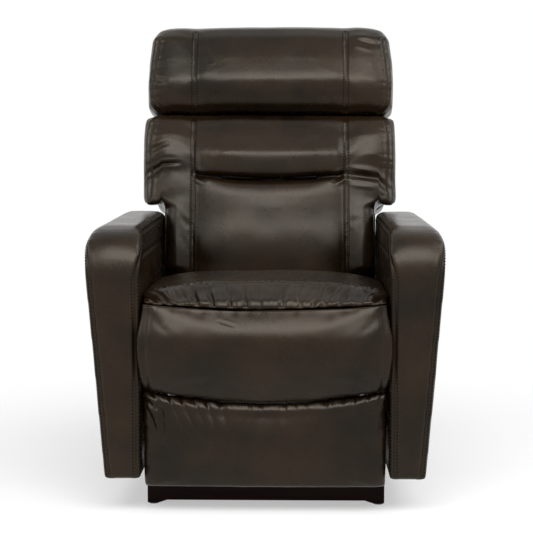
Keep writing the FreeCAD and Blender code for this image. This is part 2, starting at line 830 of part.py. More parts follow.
# Footrest brackets: a bent plate from the two end pivots to the footrest board
edge = s.link_wide / 2
lean = (cosine(down), sine(down))
rear_top = (top_c[0] + edge * lean[1], top_c[1] - edge * lean[0])
front_top = (top_c[0] - edge * lean[1], top_c[1] + edge * lean[0])
rear_low = along(rear_top, down, s.link_long * 0.92)
front_tip = along(front_top, down, half)
board_low = s.foot_board_low + 15
board_high = s.foot_board_high - 5
head_rise = (top_c[0] - edge * lean[0], top_c[1] - edge * lean[1])
bracket_front = [
    (rear_top[0] - edge * lean[0], rear_top[1] - edge * lean[1]),
    rear_low,
    (board_back, board_low),
    (board_back, board_high),
    front_tip,
    (front_top[0] - edge * lean[0], front_top[1] - edge * lean[1]),
]
bracket_points = [(-front, high) for front, high in bracket_front]
bracket_holes = [(-top_c[0], top_c[1], hole), (-tip[0], tip[1], hole)]
for side, name in SIDES:
    label = "footrest_bracket_" + name
    bounds = flip(side, two_in, two_out)
    plate = profile_body(label + "_plate", "YZ_Plane", bracket_points, bracket_holes, s.link_thick)
    place(plate, bounds[0], 0, 0)
    flange = box(label + "_flange", flip(side, two_in - s.foot_flange, two_out),
                 (-board_back, -board_back + s.link_thick), (board_low, board_high))
    keep(fuse(label, [plate, flange]), label)

# Lever drive: a rod with two cranks, drive links to the lift links, and the lever outside the right arm
rod_end = s.lever_in + s.lever_thick
rod = across("drive_rod_bar", (-rod_end, plate_out + s.plate_thick), -s.rod_front, s.lift_high, s.rod_dia / 2)
drive_pieces = [rod]
rod_spot = (s.rod_front, s.lift_high)
crank_tip = along(rod_spot, down, s.crank_long)
lift_lug = along(top_a, down, s.crank_long)
for side, name in SIDES:
    label = "crank_" + name
    bounds = flip(side, two_in, two_out)
    hub = across(label + "_hub", bounds, none, none, s.crank_wide / 2)
    arm = doc.addObject("Part::Box", label + "_arm")
    bind(arm, Length=s.link_thick, Width=s.link_wide, Height=s.crank_long)
    place(arm, bounds[0], -s.link_wide / 2, 0)
    end = across(label + "_end", bounds, none, s.crank_long, s.link_wide / 2)
    drill = across(label + "_hole", bounds, none, s.crank_long, hole)
    whole = cut(label, fuse(label + "_whole", [hub, arm, end]), [drill])
    place(whole, 0, -s.rod_front, s.lift_high, 90 - down)
    drive_pieces.append(whole)
keep(fuse("drive_rod", drive_pieces), "drive_rod")
for side, name in SIDES:
    label = "drive_link_" + name
    bounds = flip(side, three_in, three_out)
    low = crank_tip[1] - s.link_wide / 2
    flat = box(label + "_flat", bounds, (-lift_lug[0], -crank_tip[0]), (low, low + s.link_wide))
    pieces = [flat]
    for end, spot in (("lug", lift_lug), ("crank", crank_tip)):
        pieces.append(across("%s_%s" % (label, end), bounds, -spot[0], spot[1], s.link_wide / 2))
        pieces.append(across("%s_%s_pin" % (label, end), flip(side, three_out, two_out), -spot[0], spot[1],
                             s.pin_dia / 2))
    keep(fuse(label, pieces), label)
lever_x = (-rod_end, -s.lever_in)
lever_low = s.lift_high - s.lever_wide / 2
lever_tip = -s.rod_front - s.lever_long
lever_flat = box("lever_flat", lever_x, (lever_tip, -s.rod_front), (lever_low, lever_low + s.lever_wide))
lever_hub = across("lever_hub", lever_x, -s.rod_front, s.lift_high, s.lever_wide / 2)
lever_end = across("lever_end", lever_x, lever_tip, s.lift_high, s.lever_wide / 2)
lever_bore = across("lever_bore", lever_x, -s.rod_front, s.lift_high, s.rod_dia / 2 + s.weld_room)
keep(cut("lever_arm", fuse("lever_whole", [lever_flat, lever_hub, lever_end]), [lever_bore]), "lever_arm")
grip_x = (-rod_end - s.grip_thick, -rod_end)
grip_flat = box("grip_flat", grip_x, (lever_tip, lever_tip + s.grip_long), (lever_low, lever_low + s.lever_wide))
grip_front = across("grip_front", grip_x, lever_tip, s.lift_high, s.lever_wide / 2)
grip_rear = across("grip_rear", grip_x, lever_tip + s.grip_long, s.lift_high, s.lever_wide / 2)
keep(fuse("lever_grip", [grip_flat, grip_front, grip_rear]), "lever_grip")

# Reclining back, drawn upright in its own frame: Y runs back from the cushion's face, Z up along it
lean_back = -s.back_tilt


def in_back(thing, x, deep, rise):
    y = s.back_foot + rise * sine(s.back_tilt) + deep * cosine(s.back_tilt)
    z = s.back_foot_high + rise * cosine(s.back_tilt) - deep * sine(s.back_tilt)
    return place(thing, x, y, z, lean_back)


def back_box(label, x, deep, rise):
    made = doc.addObject("Part::Box", label)
    bind(made, Length=x[1] - x[0], Width=deep[1] - deep[0], Height=rise[1] - rise[0])
    return keep(in_back(made, x[0], deep[0], rise[0]), label)


post_out = one_in
post_in = post_out - s.post_wide
post_deep = (s.back_deep, s.back_deep + s.post_deep)
pivot_y = s.back_pivot - s.back_foot
pivot_z = s.back_pivot_high - s.back_foot_high
pivot_rise = pivot_y * sine(s.back_tilt) + pivot_z * cosine(s.back_tilt)
pivot_deep = pivot_y * cosine(s.back_tilt) - pivot_z * sine(s.back_tilt)
plate_deep = s.back_deep + s.post_deep
bracket_rise = pivot_rise + 7 * s.ear_half
back_points = [
    (pivot_deep - s.ear_half, pivot_rise - s.ear_half),
    (plate_deep, pivot_rise - s.ear_half),
    (plate_deep, bracket_rise),
    (s.back_deep, bracket_rise),
    (s.back_deep, s.back_start - s.bracket_clear),
    (pivot_deep - s.ear_half, pivot_rise + s.ear_half / 2),
]
for side, name in SIDES:
    back_box("back_post_" + name, flip(side, post_in, post_out), post_deep, (s.post_low, s.post_top))
    label = "back_bracket_" + name
    plate = profile_body(label, "YZ_Plane", back_points, [(pivot_deep, pivot_rise, hole)], s.link_thick, s.plate_round)
    keep(in_back(plate, flip(side, one_in, one_out)[0], none, none), label)
rail_span = (-post_in, post_in)
back_box("back_rail_top", rail_span, post_deep, (s.post_top - s.cross_rail_deep, s.post_top))
back_box("back_rail_low", rail_span, post_deep, (s.post_low + 40, s.post_low + 40 + s.cross_rail_deep))

back_place = FreeCAD.Placement(V(0, s.back_foot.value, s.back_foot_high.value),
                               FreeCAD.Rotation(V(1, 0, 0), lean_back.value))


def back_wire(rise, wide, face, middle, drawn):
    """One outline across the back: flat behind, sides drawn in towards the front, two sewn seams and a crown."""
    seam = s.back_seam.value
    panel = seam + 0.5 * (wide - drawn - seam)
    side_deep = face + 14 + 1.6 * drawn
    crown = 0.55 * seam
    rear = s.back_deep.value
    half_side = [(wide, rear), (wide, side_deep), (panel, face + 1), (seam, face + 9), (crown, middle)]
    mirrored = [(-x, deep) for x, deep in half_side[::-1]]
    radii = [5, 34, 70, 10, 90]
    points = [V(x, deep, rise) for x, deep in half_side + mirrored]
    return rounded(points, radii + radii[::-1])


def back_loft(levels):
    return Part.makeLoft([back_wire(*level) for level in levels], True, True)


low_half = s.back_half_low.value
high_half = s.back_half_high.value
begin = s.back_start.value
wide_at = s.back_step.value
tuck = s.back_tuck.value
split = s.back_split.value
crest = s.back_top.value
cushion_levels = [
    (begin, low_half - 14, 26, 26, 40),
    (begin + 14, low_half - 4, 10, 10, 44),
    (begin + 100, low_half, -2, -2, 40),
    (begin + 200, low_half + 2, -12, -12, 20),
    (wide_at - 12, low_half + 4, -16, -16, 6),
    (wide_at + 14, high_half - 10, -16, -16, 0),
    (tuck - 22, high_half - 2, -14, -10, 0),
    (tuck - 6, high_half, -12, 4, 0),
    (tuck + 4, high_half, -12, 6, 0),
    (tuck + 14, high_half, -14, -14, 0),
    (tuck + 60, high_half, -20, -26, 0),
    (tuck + 120, high_half, -18, -22, 0),
    (split - 20, high_half - 1, -6, -8, 0),
    (split - 1, high_half - 5, 14, 14, 0),
]
soft("back_cushion", back_loft(cushion_levels), back_place)
head_levels = [
    (split + 1, high_half - 5, 14, 14, 0),
    (split + 18, high_half - 1, -8, -8, 0),
    (split + 80, high_half, -16, -18, 0),
    (split + 140, high_half - 2, -12, -14, 0),
    (crest - 40, high_half - 8, -2, -2, 0),
    (crest - 14, high_half - 24, 22, 22, 0),
    (crest, high_half - 44, 52, 52, 0),
]
soft("headrest", back_loft(head_levels), back_place)


# Back cover: a hollow shell behind the cushions, open in front and below
def cover_solid(gone):
    front = s.back_deep.value
    rear = front + s.cover_deep.value - gone
    low = s.cover_low.value
    if gone > 0:
        low = low - 10
        front = front - 10
    narrow = low_half - 2 - gone
    wide = high_half - s.cover_inset.value - gone
    top = crest - 12 - gone
    corners = [(narrow, low), (narrow, wide_at - 8), (wide, wide_at + 18), (wide, top), (-wide, top),
               (-wide, wide_at + 18), (-narrow, wide_at - 8), (-narrow, low)]
    bend = s.cover_round.value - gone
    radii = [3, 20, 20, bend, bend, 20, 20, 3]
    face = slab(corners, radii, lambda a, b: V(a, front, b), V(0, rear - front, 0))
    corners = [(front, low), (rear, low), (rear, top - 30), (front, top + gone)]
    radii = [1, 6, 60, 1]
    side_view = slab(corners, radii, lambda a, b: V(-wide - 1, a, b), V(2 * wide + 2, 0, 0))
    return face.common(side_view)


soft("back_cover", cover_solid(0).cut(cover_solid(s.cover_wall.value)), back_place)

doc.recompute()
problems = []
for thing in doc.Objects:
    if "Invalid" in thing.State or "Error" in thing.State:
        problems.append(thing.Label + " has state " + str(thing.State))
for node in NODES:
    if node.Shape.isNull() or not node.Shape.isValid() or node.Shape.Volume <= 0:
        problems.append(node.Label + " has no valid shape")
if problems:
    raise RuntimeError("; ".join(problems))
os.makedirs("parts", exist_ok=True)
for node in NODES:
    node.Shape.exportStep("parts/" + node.Label + ".step")
    print(node.Label, len(node.Shape.Solids), "%.1f" % node.Shape.Volume)
whole = FreeCAD.BoundBox()
for node in NODES:
    whole.add(node.Shape.BoundBox)
print("box", whole)
for name, spot in (("top_a", top_a), ("top_b", top_b), ("top_c", top_c), ("low_a", low_a), ("low_b", low_b),
                   ("low_c", low_c), ("tip", tip), ("crank_tip", crank_tip), ("lift_lug", lift_lug)):
    print(name, "%.6f %.6f" % (-spot[0].value, spot[1].value))
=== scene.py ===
import math

import bmesh
import bpy
import numpy as np
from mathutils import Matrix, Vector
from mathutils.bvhtree import BVHTree
from mathutils.kdtree import KDTree


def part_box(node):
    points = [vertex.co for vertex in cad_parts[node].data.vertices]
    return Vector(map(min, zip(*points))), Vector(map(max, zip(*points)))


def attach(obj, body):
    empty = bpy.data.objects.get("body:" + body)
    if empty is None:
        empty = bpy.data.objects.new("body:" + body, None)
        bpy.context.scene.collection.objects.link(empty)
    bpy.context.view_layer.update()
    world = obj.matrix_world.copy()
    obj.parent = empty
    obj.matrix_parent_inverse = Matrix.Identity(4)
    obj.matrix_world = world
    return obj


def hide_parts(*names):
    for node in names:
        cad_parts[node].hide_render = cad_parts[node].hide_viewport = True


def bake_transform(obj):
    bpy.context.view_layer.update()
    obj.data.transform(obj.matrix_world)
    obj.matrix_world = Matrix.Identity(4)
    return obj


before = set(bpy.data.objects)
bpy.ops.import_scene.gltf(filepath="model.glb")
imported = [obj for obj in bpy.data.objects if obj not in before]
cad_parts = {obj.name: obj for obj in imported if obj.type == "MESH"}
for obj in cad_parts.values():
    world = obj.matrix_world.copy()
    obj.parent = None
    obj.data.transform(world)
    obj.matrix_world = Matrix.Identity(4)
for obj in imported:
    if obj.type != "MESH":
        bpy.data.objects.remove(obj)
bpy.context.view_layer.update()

scene = bpy.context.scene


# Materials

def new_material(name):
    mat = bpy.data.materials.new(name)
    mat.use_nodes = True
    tree = mat.node_tree
    return mat, tree, tree.nodes["Principled BSDF"]


def noise_node(tree, scale, detail, rough, stretch=None):
    coords = tree.nodes.new("ShaderNodeTexCoord")
    source = coords.outputs["Object"]
    if stretch is not None:
        mapping = tree.nodes.new("ShaderNodeMapping")
        mapping.inputs["Scale"].default_value = stretch
        tree.links.new(source, mapping.inputs["Vector"])
        source = mapping.outputs["Vector"]
    node = tree.nodes.new("ShaderNodeTexNoise")
    node.inputs["Scale"].default_value = scale
    node.inputs["Detail"].default_value = detail
    node.inputs["Roughness"].default_value = rough
    tree.links.new(source, node.inputs["Vector"])
    return node


def ramp(tree, source, stops):
    node = tree.nodes.new("ShaderNodeValToRGB")
    while len(node.color_ramp.elements) < len(stops):
        node.color_ramp.elements.new(0.5)
    for element, (place, colour) in zip(node.color_ramp.elements, stops):
        element.position = place
        element.color = (*colour, 1.0)
    tree.links.new(source, node.inputs["Fac"])
    return node


def spread(tree, source, low, high):
    node = tree.nodes.new("ShaderNodeMapRange")
    node.inputs["To Min"].default_value = low
    node.inputs["To Max"].default_value = high
    tree.links.new(source, node.inputs["Value"])
    return node


def bump(tree, source, strength, distance, before=None):
    node = tree.nodes.new("ShaderNodeBump")
    node.inputs["Strength"].default_value = strength
    node.inputs["Distance"].default_value = distance
    tree.links.new(source, node.inputs["Height"])
    if before is not None:
        tree.links.new(before.outputs["Normal"], node.inputs["Normal"])
    return node


def leather_material(name, dark, light, rough):
    """Mottled two-tone leather with a fine pebble grain and soft creases."""
    mat, tree, shader = new_material(name)
    mottle = noise_node(tree, 7.0, 6.0, 0.6)
    between = tuple((a + b) / 2 for a, b in zip(dark, light))
    patch = ramp(tree, mottle.outputs["Fac"], [(0.34, dark), (0.52, between), (0.72, light)])
    fleck = noise_node(tree, 95.0, 5.0, 0.65)
    tone = spread(tree, fleck.outputs["Fac"], 0.75, 1.25)
    mix = tree.nodes.new("ShaderNodeMixRGB")
    mix.blend_type = "MULTIPLY"
    mix.inputs["Fac"].default_value = 1.0
    tree.links.new(patch.outputs["Color"], mix.inputs["Color1"])
    tree.links.new(tone.outputs["Result"], mix.inputs["Color2"])
    tree.links.new(mix.outputs["Color"], shader.inputs["Base Color"])
    worn = noise_node(tree, 16.0, 5.0, 0.6)
    gloss = spread(tree, worn.outputs["Fac"], rough - 0.06, rough + 0.10)
    tree.links.new(gloss.outputs["Result"], shader.inputs["Roughness"])
    shader.inputs["Specular IOR Level"].default_value = 0.23
    shader.inputs["Specular Tint"].default_value = (1.0, 0.93, 0.81, 1.0)
    coords = tree.nodes.new("ShaderNodeTexCoord")
    cells = tree.nodes.new("ShaderNodeTexVoronoi")
    cells.feature = "DISTANCE_TO_EDGE"
    cells.inputs["Scale"].default_value = 520.0
    tree.links.new(coords.outputs["Object"], cells.inputs["Vector"])
    pebble = ramp(tree, cells.outputs["Distance"], [(0.0, (0, 0, 0)), (0.16, (1, 1, 1))])
    grain = bump(tree, pebble.outputs["Color"], 0.12, 0.0004)
    creases = noise_node(tree, 60.0, 6.0, 0.6)
    soft = bump(tree, creases.outputs["Fac"], 0.11, 0.0022, grain)
    tree.links.new(soft.outputs["Normal"], shader.inputs["Normal"])
    return mat


def wood_material(name, dark, light, rough, along):
    """Straight grain that runs along one axis (0 x, 1 y, 2 z), with pores."""
    mat, tree, shader = new_material(name)
    stretch = [28.0, 28.0, 28.0]
    stretch[along] = 1.6
    rings = noise_node(tree, 3.0, 8.0, 0.62, stretch)
    colour = ramp(tree, rings.outputs["Fac"], [(0.30, dark), (0.70, light)])
    tree.links.new(colour.outputs["Color"], shader.inputs["Base Color"])
    gloss = spread(tree, rings.outputs["Fac"], rough - 0.06, rough + 0.08)
    tree.links.new(gloss.outputs["Result"], shader.inputs["Roughness"])
    shader.inputs["Specular IOR Level"].default_value = 0.05
    stretch = [260.0, 260.0, 260.0]
    stretch[along] = 12.0
    pores = noise_node(tree, 3.0, 4.0, 0.6, stretch)
    relief = bump(tree, pores.outputs["Fac"], 0.15, 0.0006)
    tree.links.new(relief.outputs["Normal"], shader.inputs["Normal"])
    return mat


def metal_material(name, dark, light, metallic, rough):
    """Plated or painted steel with slight cloudiness and fine scratches."""
    mat, tree, shader = new_material(name)
    cloud = noise_node(tree, 45.0, 6.0, 0.6)
    colour = ramp(tree, cloud.outputs["Fac"], [(0.3, dark), (0.7, light)])
    tree.links.new(colour.outputs["Color"], shader.inputs["Base Color"])
    shader.inputs["Metallic"].default_value = metallic
    gloss = spread(tree, cloud.outputs["Fac"], rough - 0.07, rough + 0.1)
    tree.links.new(gloss.outputs["Result"], shader.inputs["Roughness"])
    scratch = noise_node(tree, 30.0, 6.0, 0.7, (40.0, 4.0, 40.0))
    relief = bump(tree, scratch.outputs["Fac"], 0.08, 0.0004)
    tree.links.new(relief.outputs["Normal"], shader.inputs["Normal"])
    return mat


def plastic_material(name, colour, rough, specular=0.5):
    """Moulded plastic, or thread, with a fine uneven surface."""
    mat, tree, shader = new_material(name)
    shader.inputs["Specular IOR Level"].default_value = specular
    fine = noise_node(tree, 900.0, 3.0, 0.6)
    darker = tuple(c * 0.8 for c in colour)
    lighter = tuple(c * 1.2 for c in colour)
    shade = ramp(tree, fine.outputs["Fac"], [(0.3, darker), (0.7, lighter)])
    tree.links.new(shade.outputs["Color"], shader.inputs["Base Color"])
    gloss = spread(tree, fine.outputs["Fac"], rough - 0.06, rough + 0.08)
    tree.links.new(gloss.outputs["Result"], shader.inputs["Roughness"])
    relief = bump(tree, fine.outputs["Fac"], 0.2, 0.0003)
    tree.links.new(relief.outputs["Normal"], shader.inputs["Normal"])
    return mat


LEATHER = leather_material("leather_brown", (0.0036, 0.0018, 0.0008), (0.0155, 0.0083, 0.0034), 0.26)
PIPING = leather_material("leather_piping", (0.0060, 0.0034, 0.0018), (0.014, 0.0085, 0.0046), 0.40)
THREAD = plastic_material("thread_brown", (0.006, 0.0032, 0.0020), 0.70, 0.05)
MAHOGANY = {"dark": (0.0035, 0.0014, 0.0008), "light": (0.0120, 0.0042, 0.0022), "rough": 0.40}
FRAME_WOOD = {"dark": (0.36, 0.23, 0.12), "light": (0.60, 0.43, 0.25), "rough": 0.62}
MAHOGANY_X = wood_material("mahogany_across", along=0, **MAHOGANY)
MAHOGANY_Y = wood_material("mahogany_along", along=1, **MAHOGANY)
FRAME_X = wood_material("frame_wood_across", along=0, **FRAME_WOOD)
FRAME_Y = wood_material("frame_wood_along", along=1, **FRAME_WOOD)
FRAME_Z = wood_material("frame_wood_up", along=2, **FRAME_WOOD)
BLACK_STEEL = metal_material("steel_black", (0.012, 0.012, 0.013), (0.028, 0.028, 0.030), 0.0, 0.42)
ZINC = metal_material("steel_zinc", (0.40, 0.40, 0.39), (0.58, 0.57, 0.54), 1.0, 0.36)
SPRING = metal_material("steel_spring", (0.16, 0.15, 0.15), (0.30, 0.29, 0.28), 1.0, 0.40)
BLACK_PLASTIC = plastic_material("plastic_black", (0.018, 0.018, 0.018), 0.48)


def dress_node(name):
    """The material of a CAD node, by what the piece is made of."""
    if name.startswith("base_side"):
        return MAHOGANY_Y
    if name.startswith(("base_front", "base_rear")):
        return MAHOGANY_X
    if name.startswith(("seat_rail_front", "seat_rail_rear", "back_rail", "footrest_board")):
        return FRAME_X
    if name.startswith(("back_post", "base_corner")):
        return FRAME_Z
    if name.startswith(("rocker_cam", "arm_block", "arm_frame", "seat_rail")):
        return FRAME_Y
    if name.startswith(("rocker_springs", "seat_springs")):
        return SPRING
    if name.startswith(("side_plate", "spring_bracket", "back_bracket", "cross_tube")):
        return BLACK_STEEL
    if name in ("floor_glides", "lever_grip"):
        return BLACK_PLASTIC
    if name.startswith(("arm_cover", "seat_cushion", "front_roll", "footrest_pad", "back_c", "headrest")):
        return LEATHER
    return ZINC


for node_name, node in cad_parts.items():
    node.data.materials.clear()
    node.data.materials.append(dress_node(node_name))


# Mesh helpers

def coordinates(mesh):
    flat = np.empty(len(mesh.vertices) * 3)
    mesh.vertices.foreach_get("co", flat)
    return flat.reshape(-1, 3)


def normals(mesh):
    flat = np.empty(len(mesh.vertices) * 3)
    mesh.vertices.foreach_get("normal", flat)
    return flat.reshape(-1, 3)


def put(mesh, co):
    mesh.vertices.foreach_set("co", np.ascontiguousarray(co).ravel())
    mesh.update()


def smooth_steps(mesh, co, times):
    """Moves each point half of the way to the middle of its neighbours."""
    flat = np.empty(len(mesh.edges) * 2, dtype=np.int64)
    mesh.edges.foreach_get("vertices", flat)
    a = flat[0::2]
    b = flat[1::2]
    count = np.bincount(np.concatenate([a, b]), minlength=len(co)).astype(float)
    count[count == 0] = 1.0
    for _ in range(times):
        total = np.zeros_like(co)
        for axis in range(3):
            total[:, axis] = (np.bincount(a, co[b, axis], minlength=len(co))
                              + np.bincount(b, co[a, axis], minlength=len(co)))
        co = co + (total / count[:, None] - co) * 0.5
    return co


def evaluated_mesh(obj):
    graph = bpy.context.evaluated_depsgraph_get()
    return bpy.data.meshes.new_from_object(obj.evaluated_get(graph))


def remeshed(node_name, name, voxel, hull=False):
    """A copy of a node's form with an even grid of faces."""
    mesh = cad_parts[node_name].data.copy()
    if hull:
        work = bmesh.new()
        work.from_mesh(mesh)
        made = bmesh.ops.convex_hull(work, input=work.verts)
        loose = [v for v in work.verts if not v.link_faces]
        inner = list({g for g in made["geom_interior"] if isinstance(g, bmesh.types.BMVert)} | set(loose))
        bmesh.ops.delete(work, geom=inner, context="VERTS")
        keep = set(made["geom"])
        drop = [f for f in work.faces if f not in keep]
        bmesh.ops.delete(work, geom=drop, context="FACES_ONLY")
        work.to_mesh(mesh)
        work.free()
    obj = bpy.data.objects.new(name, mesh)
    scene.collection.objects.link(obj)
    change = obj.modifiers.new("grid", "REMESH")
    change.mode = "VOXEL"
    change.voxel_size = voxel
    fresh = evaluated_mesh(obj)
    obj.modifiers.clear()
    obj.data = fresh
    fresh.name = name
    return obj


CLOTH_STEPS = 20
CLOTH_PRESSURE = 4.0
CLOTH_STIFFNESS = 18.0
SLIDE_SHARE = 0.2
SLIDE_MOST = 0.004
SINK_MOST = 0.0015


def swell(obj, pinned, cap, gain):
    """Inflates a pad as cloth under pressure, with some points held, and hardly inside its first form."""
    mesh = obj.data
    rest = coordinates(mesh)
    up = normals(mesh)
    group = obj.vertex_groups.new(name="held")
    group.add(np.nonzero(pinned > 0.5)[0].tolist(), 1.0, "REPLACE")
    cloth = obj.modifiers.new("cloth", "CLOTH")
    settings = cloth.settings
    settings.quality = 5
    settings.mass = 0.3
    settings.tension_stiffness = CLOTH_STIFFNESS
    settings.compression_stiffness = CLOTH_STIFFNESS
    settings.shear_stiffness = CLOTH_STIFFNESS * 0.4
    settings.bending_stiffness = 1.2
    settings.use_pressure = True
    settings.uniform_pressure_force = CLOTH_PRESSURE
    settings.effector_weights.gravity = 0.0
    settings.vertex_group_mass = "held"
    cloth.point_cache.frame_start = 1
    cloth.point_cache.frame_end = CLOTH_STEPS
    for step in range(1, CLOTH_STEPS + 1):
        scene.frame_set(step)
    done = coordinates(evaluated_mesh(obj))
    obj.modifiers.clear()
    obj.vertex_groups.clear()
    scene.frame_set(1)
    move = done - rest
    out = (move * up).sum(axis=1)
    slide = move - up * out[:, None]
    reach = np.linalg.norm(slide, axis=1)
    slide = slide * (np.minimum(SLIDE_SHARE * reach, SLIDE_MOST) / np.maximum(reach, 1e-9))[:, None]
    fuller = np.where(out > 0, cap * np.tanh(gain * out / cap), np.maximum(gain * out, -SINK_MOST))
    put(mesh, smooth_steps(mesh, rest + up * fuller[:, None] + slide, 3))


def finer(obj):
    """Splits each face in four, for folds and seams."""
    split = obj.modifiers.new("finer", "SUBSURF")
    split.levels = 1
    fresh = evaluated_mesh(obj)
    obj.modifiers.clear()
    obj.data = fresh


def finish_pad(obj, body, nodes):
    """Smooth shading and leather for a pad, set on its body, with the nodes it stands for hidden."""
    for face in obj.data.polygons:
        face.use_smooth = True
    obj.data.materials.clear()
    obj.data.materials.append(LEATHER)
    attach(obj, body)
    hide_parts(*nodes)


def bell(distance, width):
    """1 at no distance, falling to nothing over about twice the width."""
    return np.exp(-(distance / width) ** 2)


def rise(value, low, high):
    """0 up to low, 1 from high on, and smooth between them."""
    part = np.clip((value - low) / (high - low), 0.0, 1.0)
    return part * part * (3.0 - 2.0 * part)


def hash_noise(points, scale, seed):
    """Smooth value noise at each point, between -1 and 1, the same on every run."""
    p = points * scale + seed * 17.31
    cell = np.floor(p).astype(np.int64)
    part = p - cell
    part = part * part * (3.0 - 2.0 * part)

    def corner(dx, dy, dz):
        n = (cell[:, 0] + dx) * 374761393 + (cell[:, 1] + dy) * 668265263
        n = n + (cell[:, 2] + dz) * 2147483647 + seed * 974711
        n = (n ^ (n >> 13)) * 1274126177
        n = n ^ (n >> 16)
        return (n & 0xFFFF) / 32767.5 - 1.0

    total = 0.0
    for dx in (0, 1):
        wx = part[:, 0] if dx else 1 - part[:, 0]
        for dy in (0, 1):
            wy = part[:, 1] if dy else 1 - part[:, 1]
            for dz in (0, 1):
                wz = part[:, 2] if dz else 1 - part[:, 2]
                total = total + corner(dx, dy, dz) * wx * wy * wz
    return total


def clouds(points, scale, seed):
    """Three layers of noise, each finer and weaker than the one before."""
    total = 0.0
    weight = 1.0
    for i in range(3):
        total = total + weight * hash_noise(points, scale * 2.0 ** i, seed + i)
        weight *= 0.5
    return total


def surface_tree(obj):
    points = [tuple(v) for v in coordinates(obj.data)]
    return BVHTree.FromPolygons(points, [tuple(p.vertices) for p in obj.data.polygons])


LINE_STEP = 0.002


def dense(line):
    """Points at even steps along a line of points."""
    points = []
    for a, b in zip(line, line[1:]):
        a = Vector(a)
        b = Vector(b)
        count = max(1, int((b - a).length / LINE_STEP))
        points += [a.lerp(b, i / count) for i in range(count)]
    return points + [Vector(line[-1])]


def from_line(mesh, line, reach):
    """How far each point of a mesh lies from a line, up to reach."""
    points = dense(line)
    tree = KDTree(len(points))
    for i, point in enumerate(points):
        tree.insert(point, i)
    tree.balance()
    spots = np.array([tuple(p) for p in points])
    co = coordinates(mesh)
    close = ((co > spots.min(axis=0) - reach) & (co < spots.max(axis=0) + reach)).all(axis=1)
    away = np.full(len(co), 1.0)
    for i in np.nonzero(close)[0]:
        away[i] = tree.find(co[i])[2]
    return away


def groove(mesh, line, depth, width, ridge):
    """Draws the surface in along a line, with a low ridge on both sides."""
    away = from_line(mesh, line, 5 * width)
    press = -depth * bell(away, width) + ridge * bell(away - 2.4 * width, width)
    put(mesh, coordinates(mesh) + normals(mesh) * press[:, None])


def crease(u, v, start, end, depth, width):
    """The fall of a tapering fold between two places on a face with coordinates u, v."""
    along_u = end[0] - start[0]
    along_v = end[1] - start[1]
    length = math.hypot(along_u, along_v)
    part = np.clip(((u - start[0]) * along_u + (v - start[1]) * along_v) / length ** 2, 0.0, 1.0)
    away = np.hypot(u - start[0] - part * along_u, v - start[1] - part * along_v)
    taper = np.sin(math.pi * np.clip(0.08 + 0.84 * part, 0, 1)) ** 0.8
    return depth * taper * (bell(away, width) - 0.45 * bell(away - 2.0 * width, 0.9 * width))


def folds(place, spacing, seed):
    """Sharp valleys between round gathers along a line: 0 on the crests, 1 in the valleys."""
    flat = np.stack([place, np.zeros_like(place), np.zeros_like(place)], axis=1)
    phase = place / spacing + 0.45 * hash_noise(flat, 0.6 / spacing, seed)
    strength = 0.55 + 0.45 * hash_noise(flat, 1.1 / spacing, seed + 5)
    return strength * (1.0 - np.abs(np.sin(math.pi * phase))) ** 1.6


def piping(name, points, radius, body):
    """A piped edge that follows the given points."""
    curve = bpy.data.curves.new(name, "CURVE")
    curve.dimensions = "3D"
    curve.bevel_depth = radius
    curve.bevel_resolution = 3
    spline = curve.splines.new("POLY")
    spline.points.add(len(points) - 1)
    for spot, point in zip(spline.points, points):
        spot.co = (*point, 1.0)
    obj = bpy.data.objects.new(name, curve)
    scene.collection.objects.link(obj)
    curve.materials.append(PIPING)
    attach(obj, body)


STITCH_LONG = 0.0042
STITCH_GAP = 0.0033
STITCH_RADIUS = 0.0016
# A stitch's form, as (place along it, share of its radius)
STITCH_PROFILE = ((0.0, 0.25), (0.15, 0.8), (0.5, 1.0), (0.85, 0.8), (1.0, 0.25))
STITCH_SIDES = 6


def stitches(name, lines, body):
    """Separate thread stitches along lines of (point, normal)."""
    work = bmesh.new()
    for line in lines:
        spots = [Vector(p) for p, _ in line]
        ups = [Vector(n) for _, n in line]
        reach = [0.0]
        for a, b in zip(spots, spots[1:]):
            reach.append(reach[-1] + (b - a).length)

        def at(distance):
            for i in range(len(reach) - 1):
                if reach[i + 1] >= distance:
                    part = (distance - reach[i]) / max(reach[i + 1] - reach[i], 1e-9)
                    return spots[i].lerp(spots[i + 1], part), ups[i].lerp(ups[i + 1], part).normalized()
            return spots[-1], ups[-1]

        start = STITCH_GAP
        while start + STITCH_LONG < reach[-1]:
            a, up = at(start)
            b, _ = at(start + STITCH_LONG)
            way = (b - a).normalized()
            side = up.cross(way).normalized()
            rows = []
            for part, share in STITCH_PROFILE:
                centre = a.lerp(b, part) + up * (0.0003 - 0.0006 * (2 * part - 1) ** 2)
                ring = []
                for k in range(STITCH_SIDES):
                    turn = k * 2 * math.pi / STITCH_SIDES
                    out = side * math.cos(turn) + up * math.sin(turn)
                    ring.append(work.verts.new(centre + out * STITCH_RADIUS * share))
                rows.append(ring)
            for low, high in zip(rows, rows[1:]):
                for k in range(STITCH_SIDES):
                    after = (k + 1) % STITCH_SIDES
                    work.faces.new((low[k], low[after], high[after], high[k]))
            work.faces.new(rows[0][::-1])
            work.faces.new(rows[-1])
            start += STITCH_LONG + STITCH_GAP
    mesh = bpy.data.meshes.new(name)
    work.to_mesh(mesh)
    work.free()
    for face in mesh.polygons:
        face.use_smooth = True
    mesh.materials.append(THREAD)
    obj = bpy.data.objects.new(name, mesh)
    scene.collection.objects.link(obj)
    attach(obj, body)


# Back and headrest, worked in the back's own frame: x across, n back from the face, s up along it

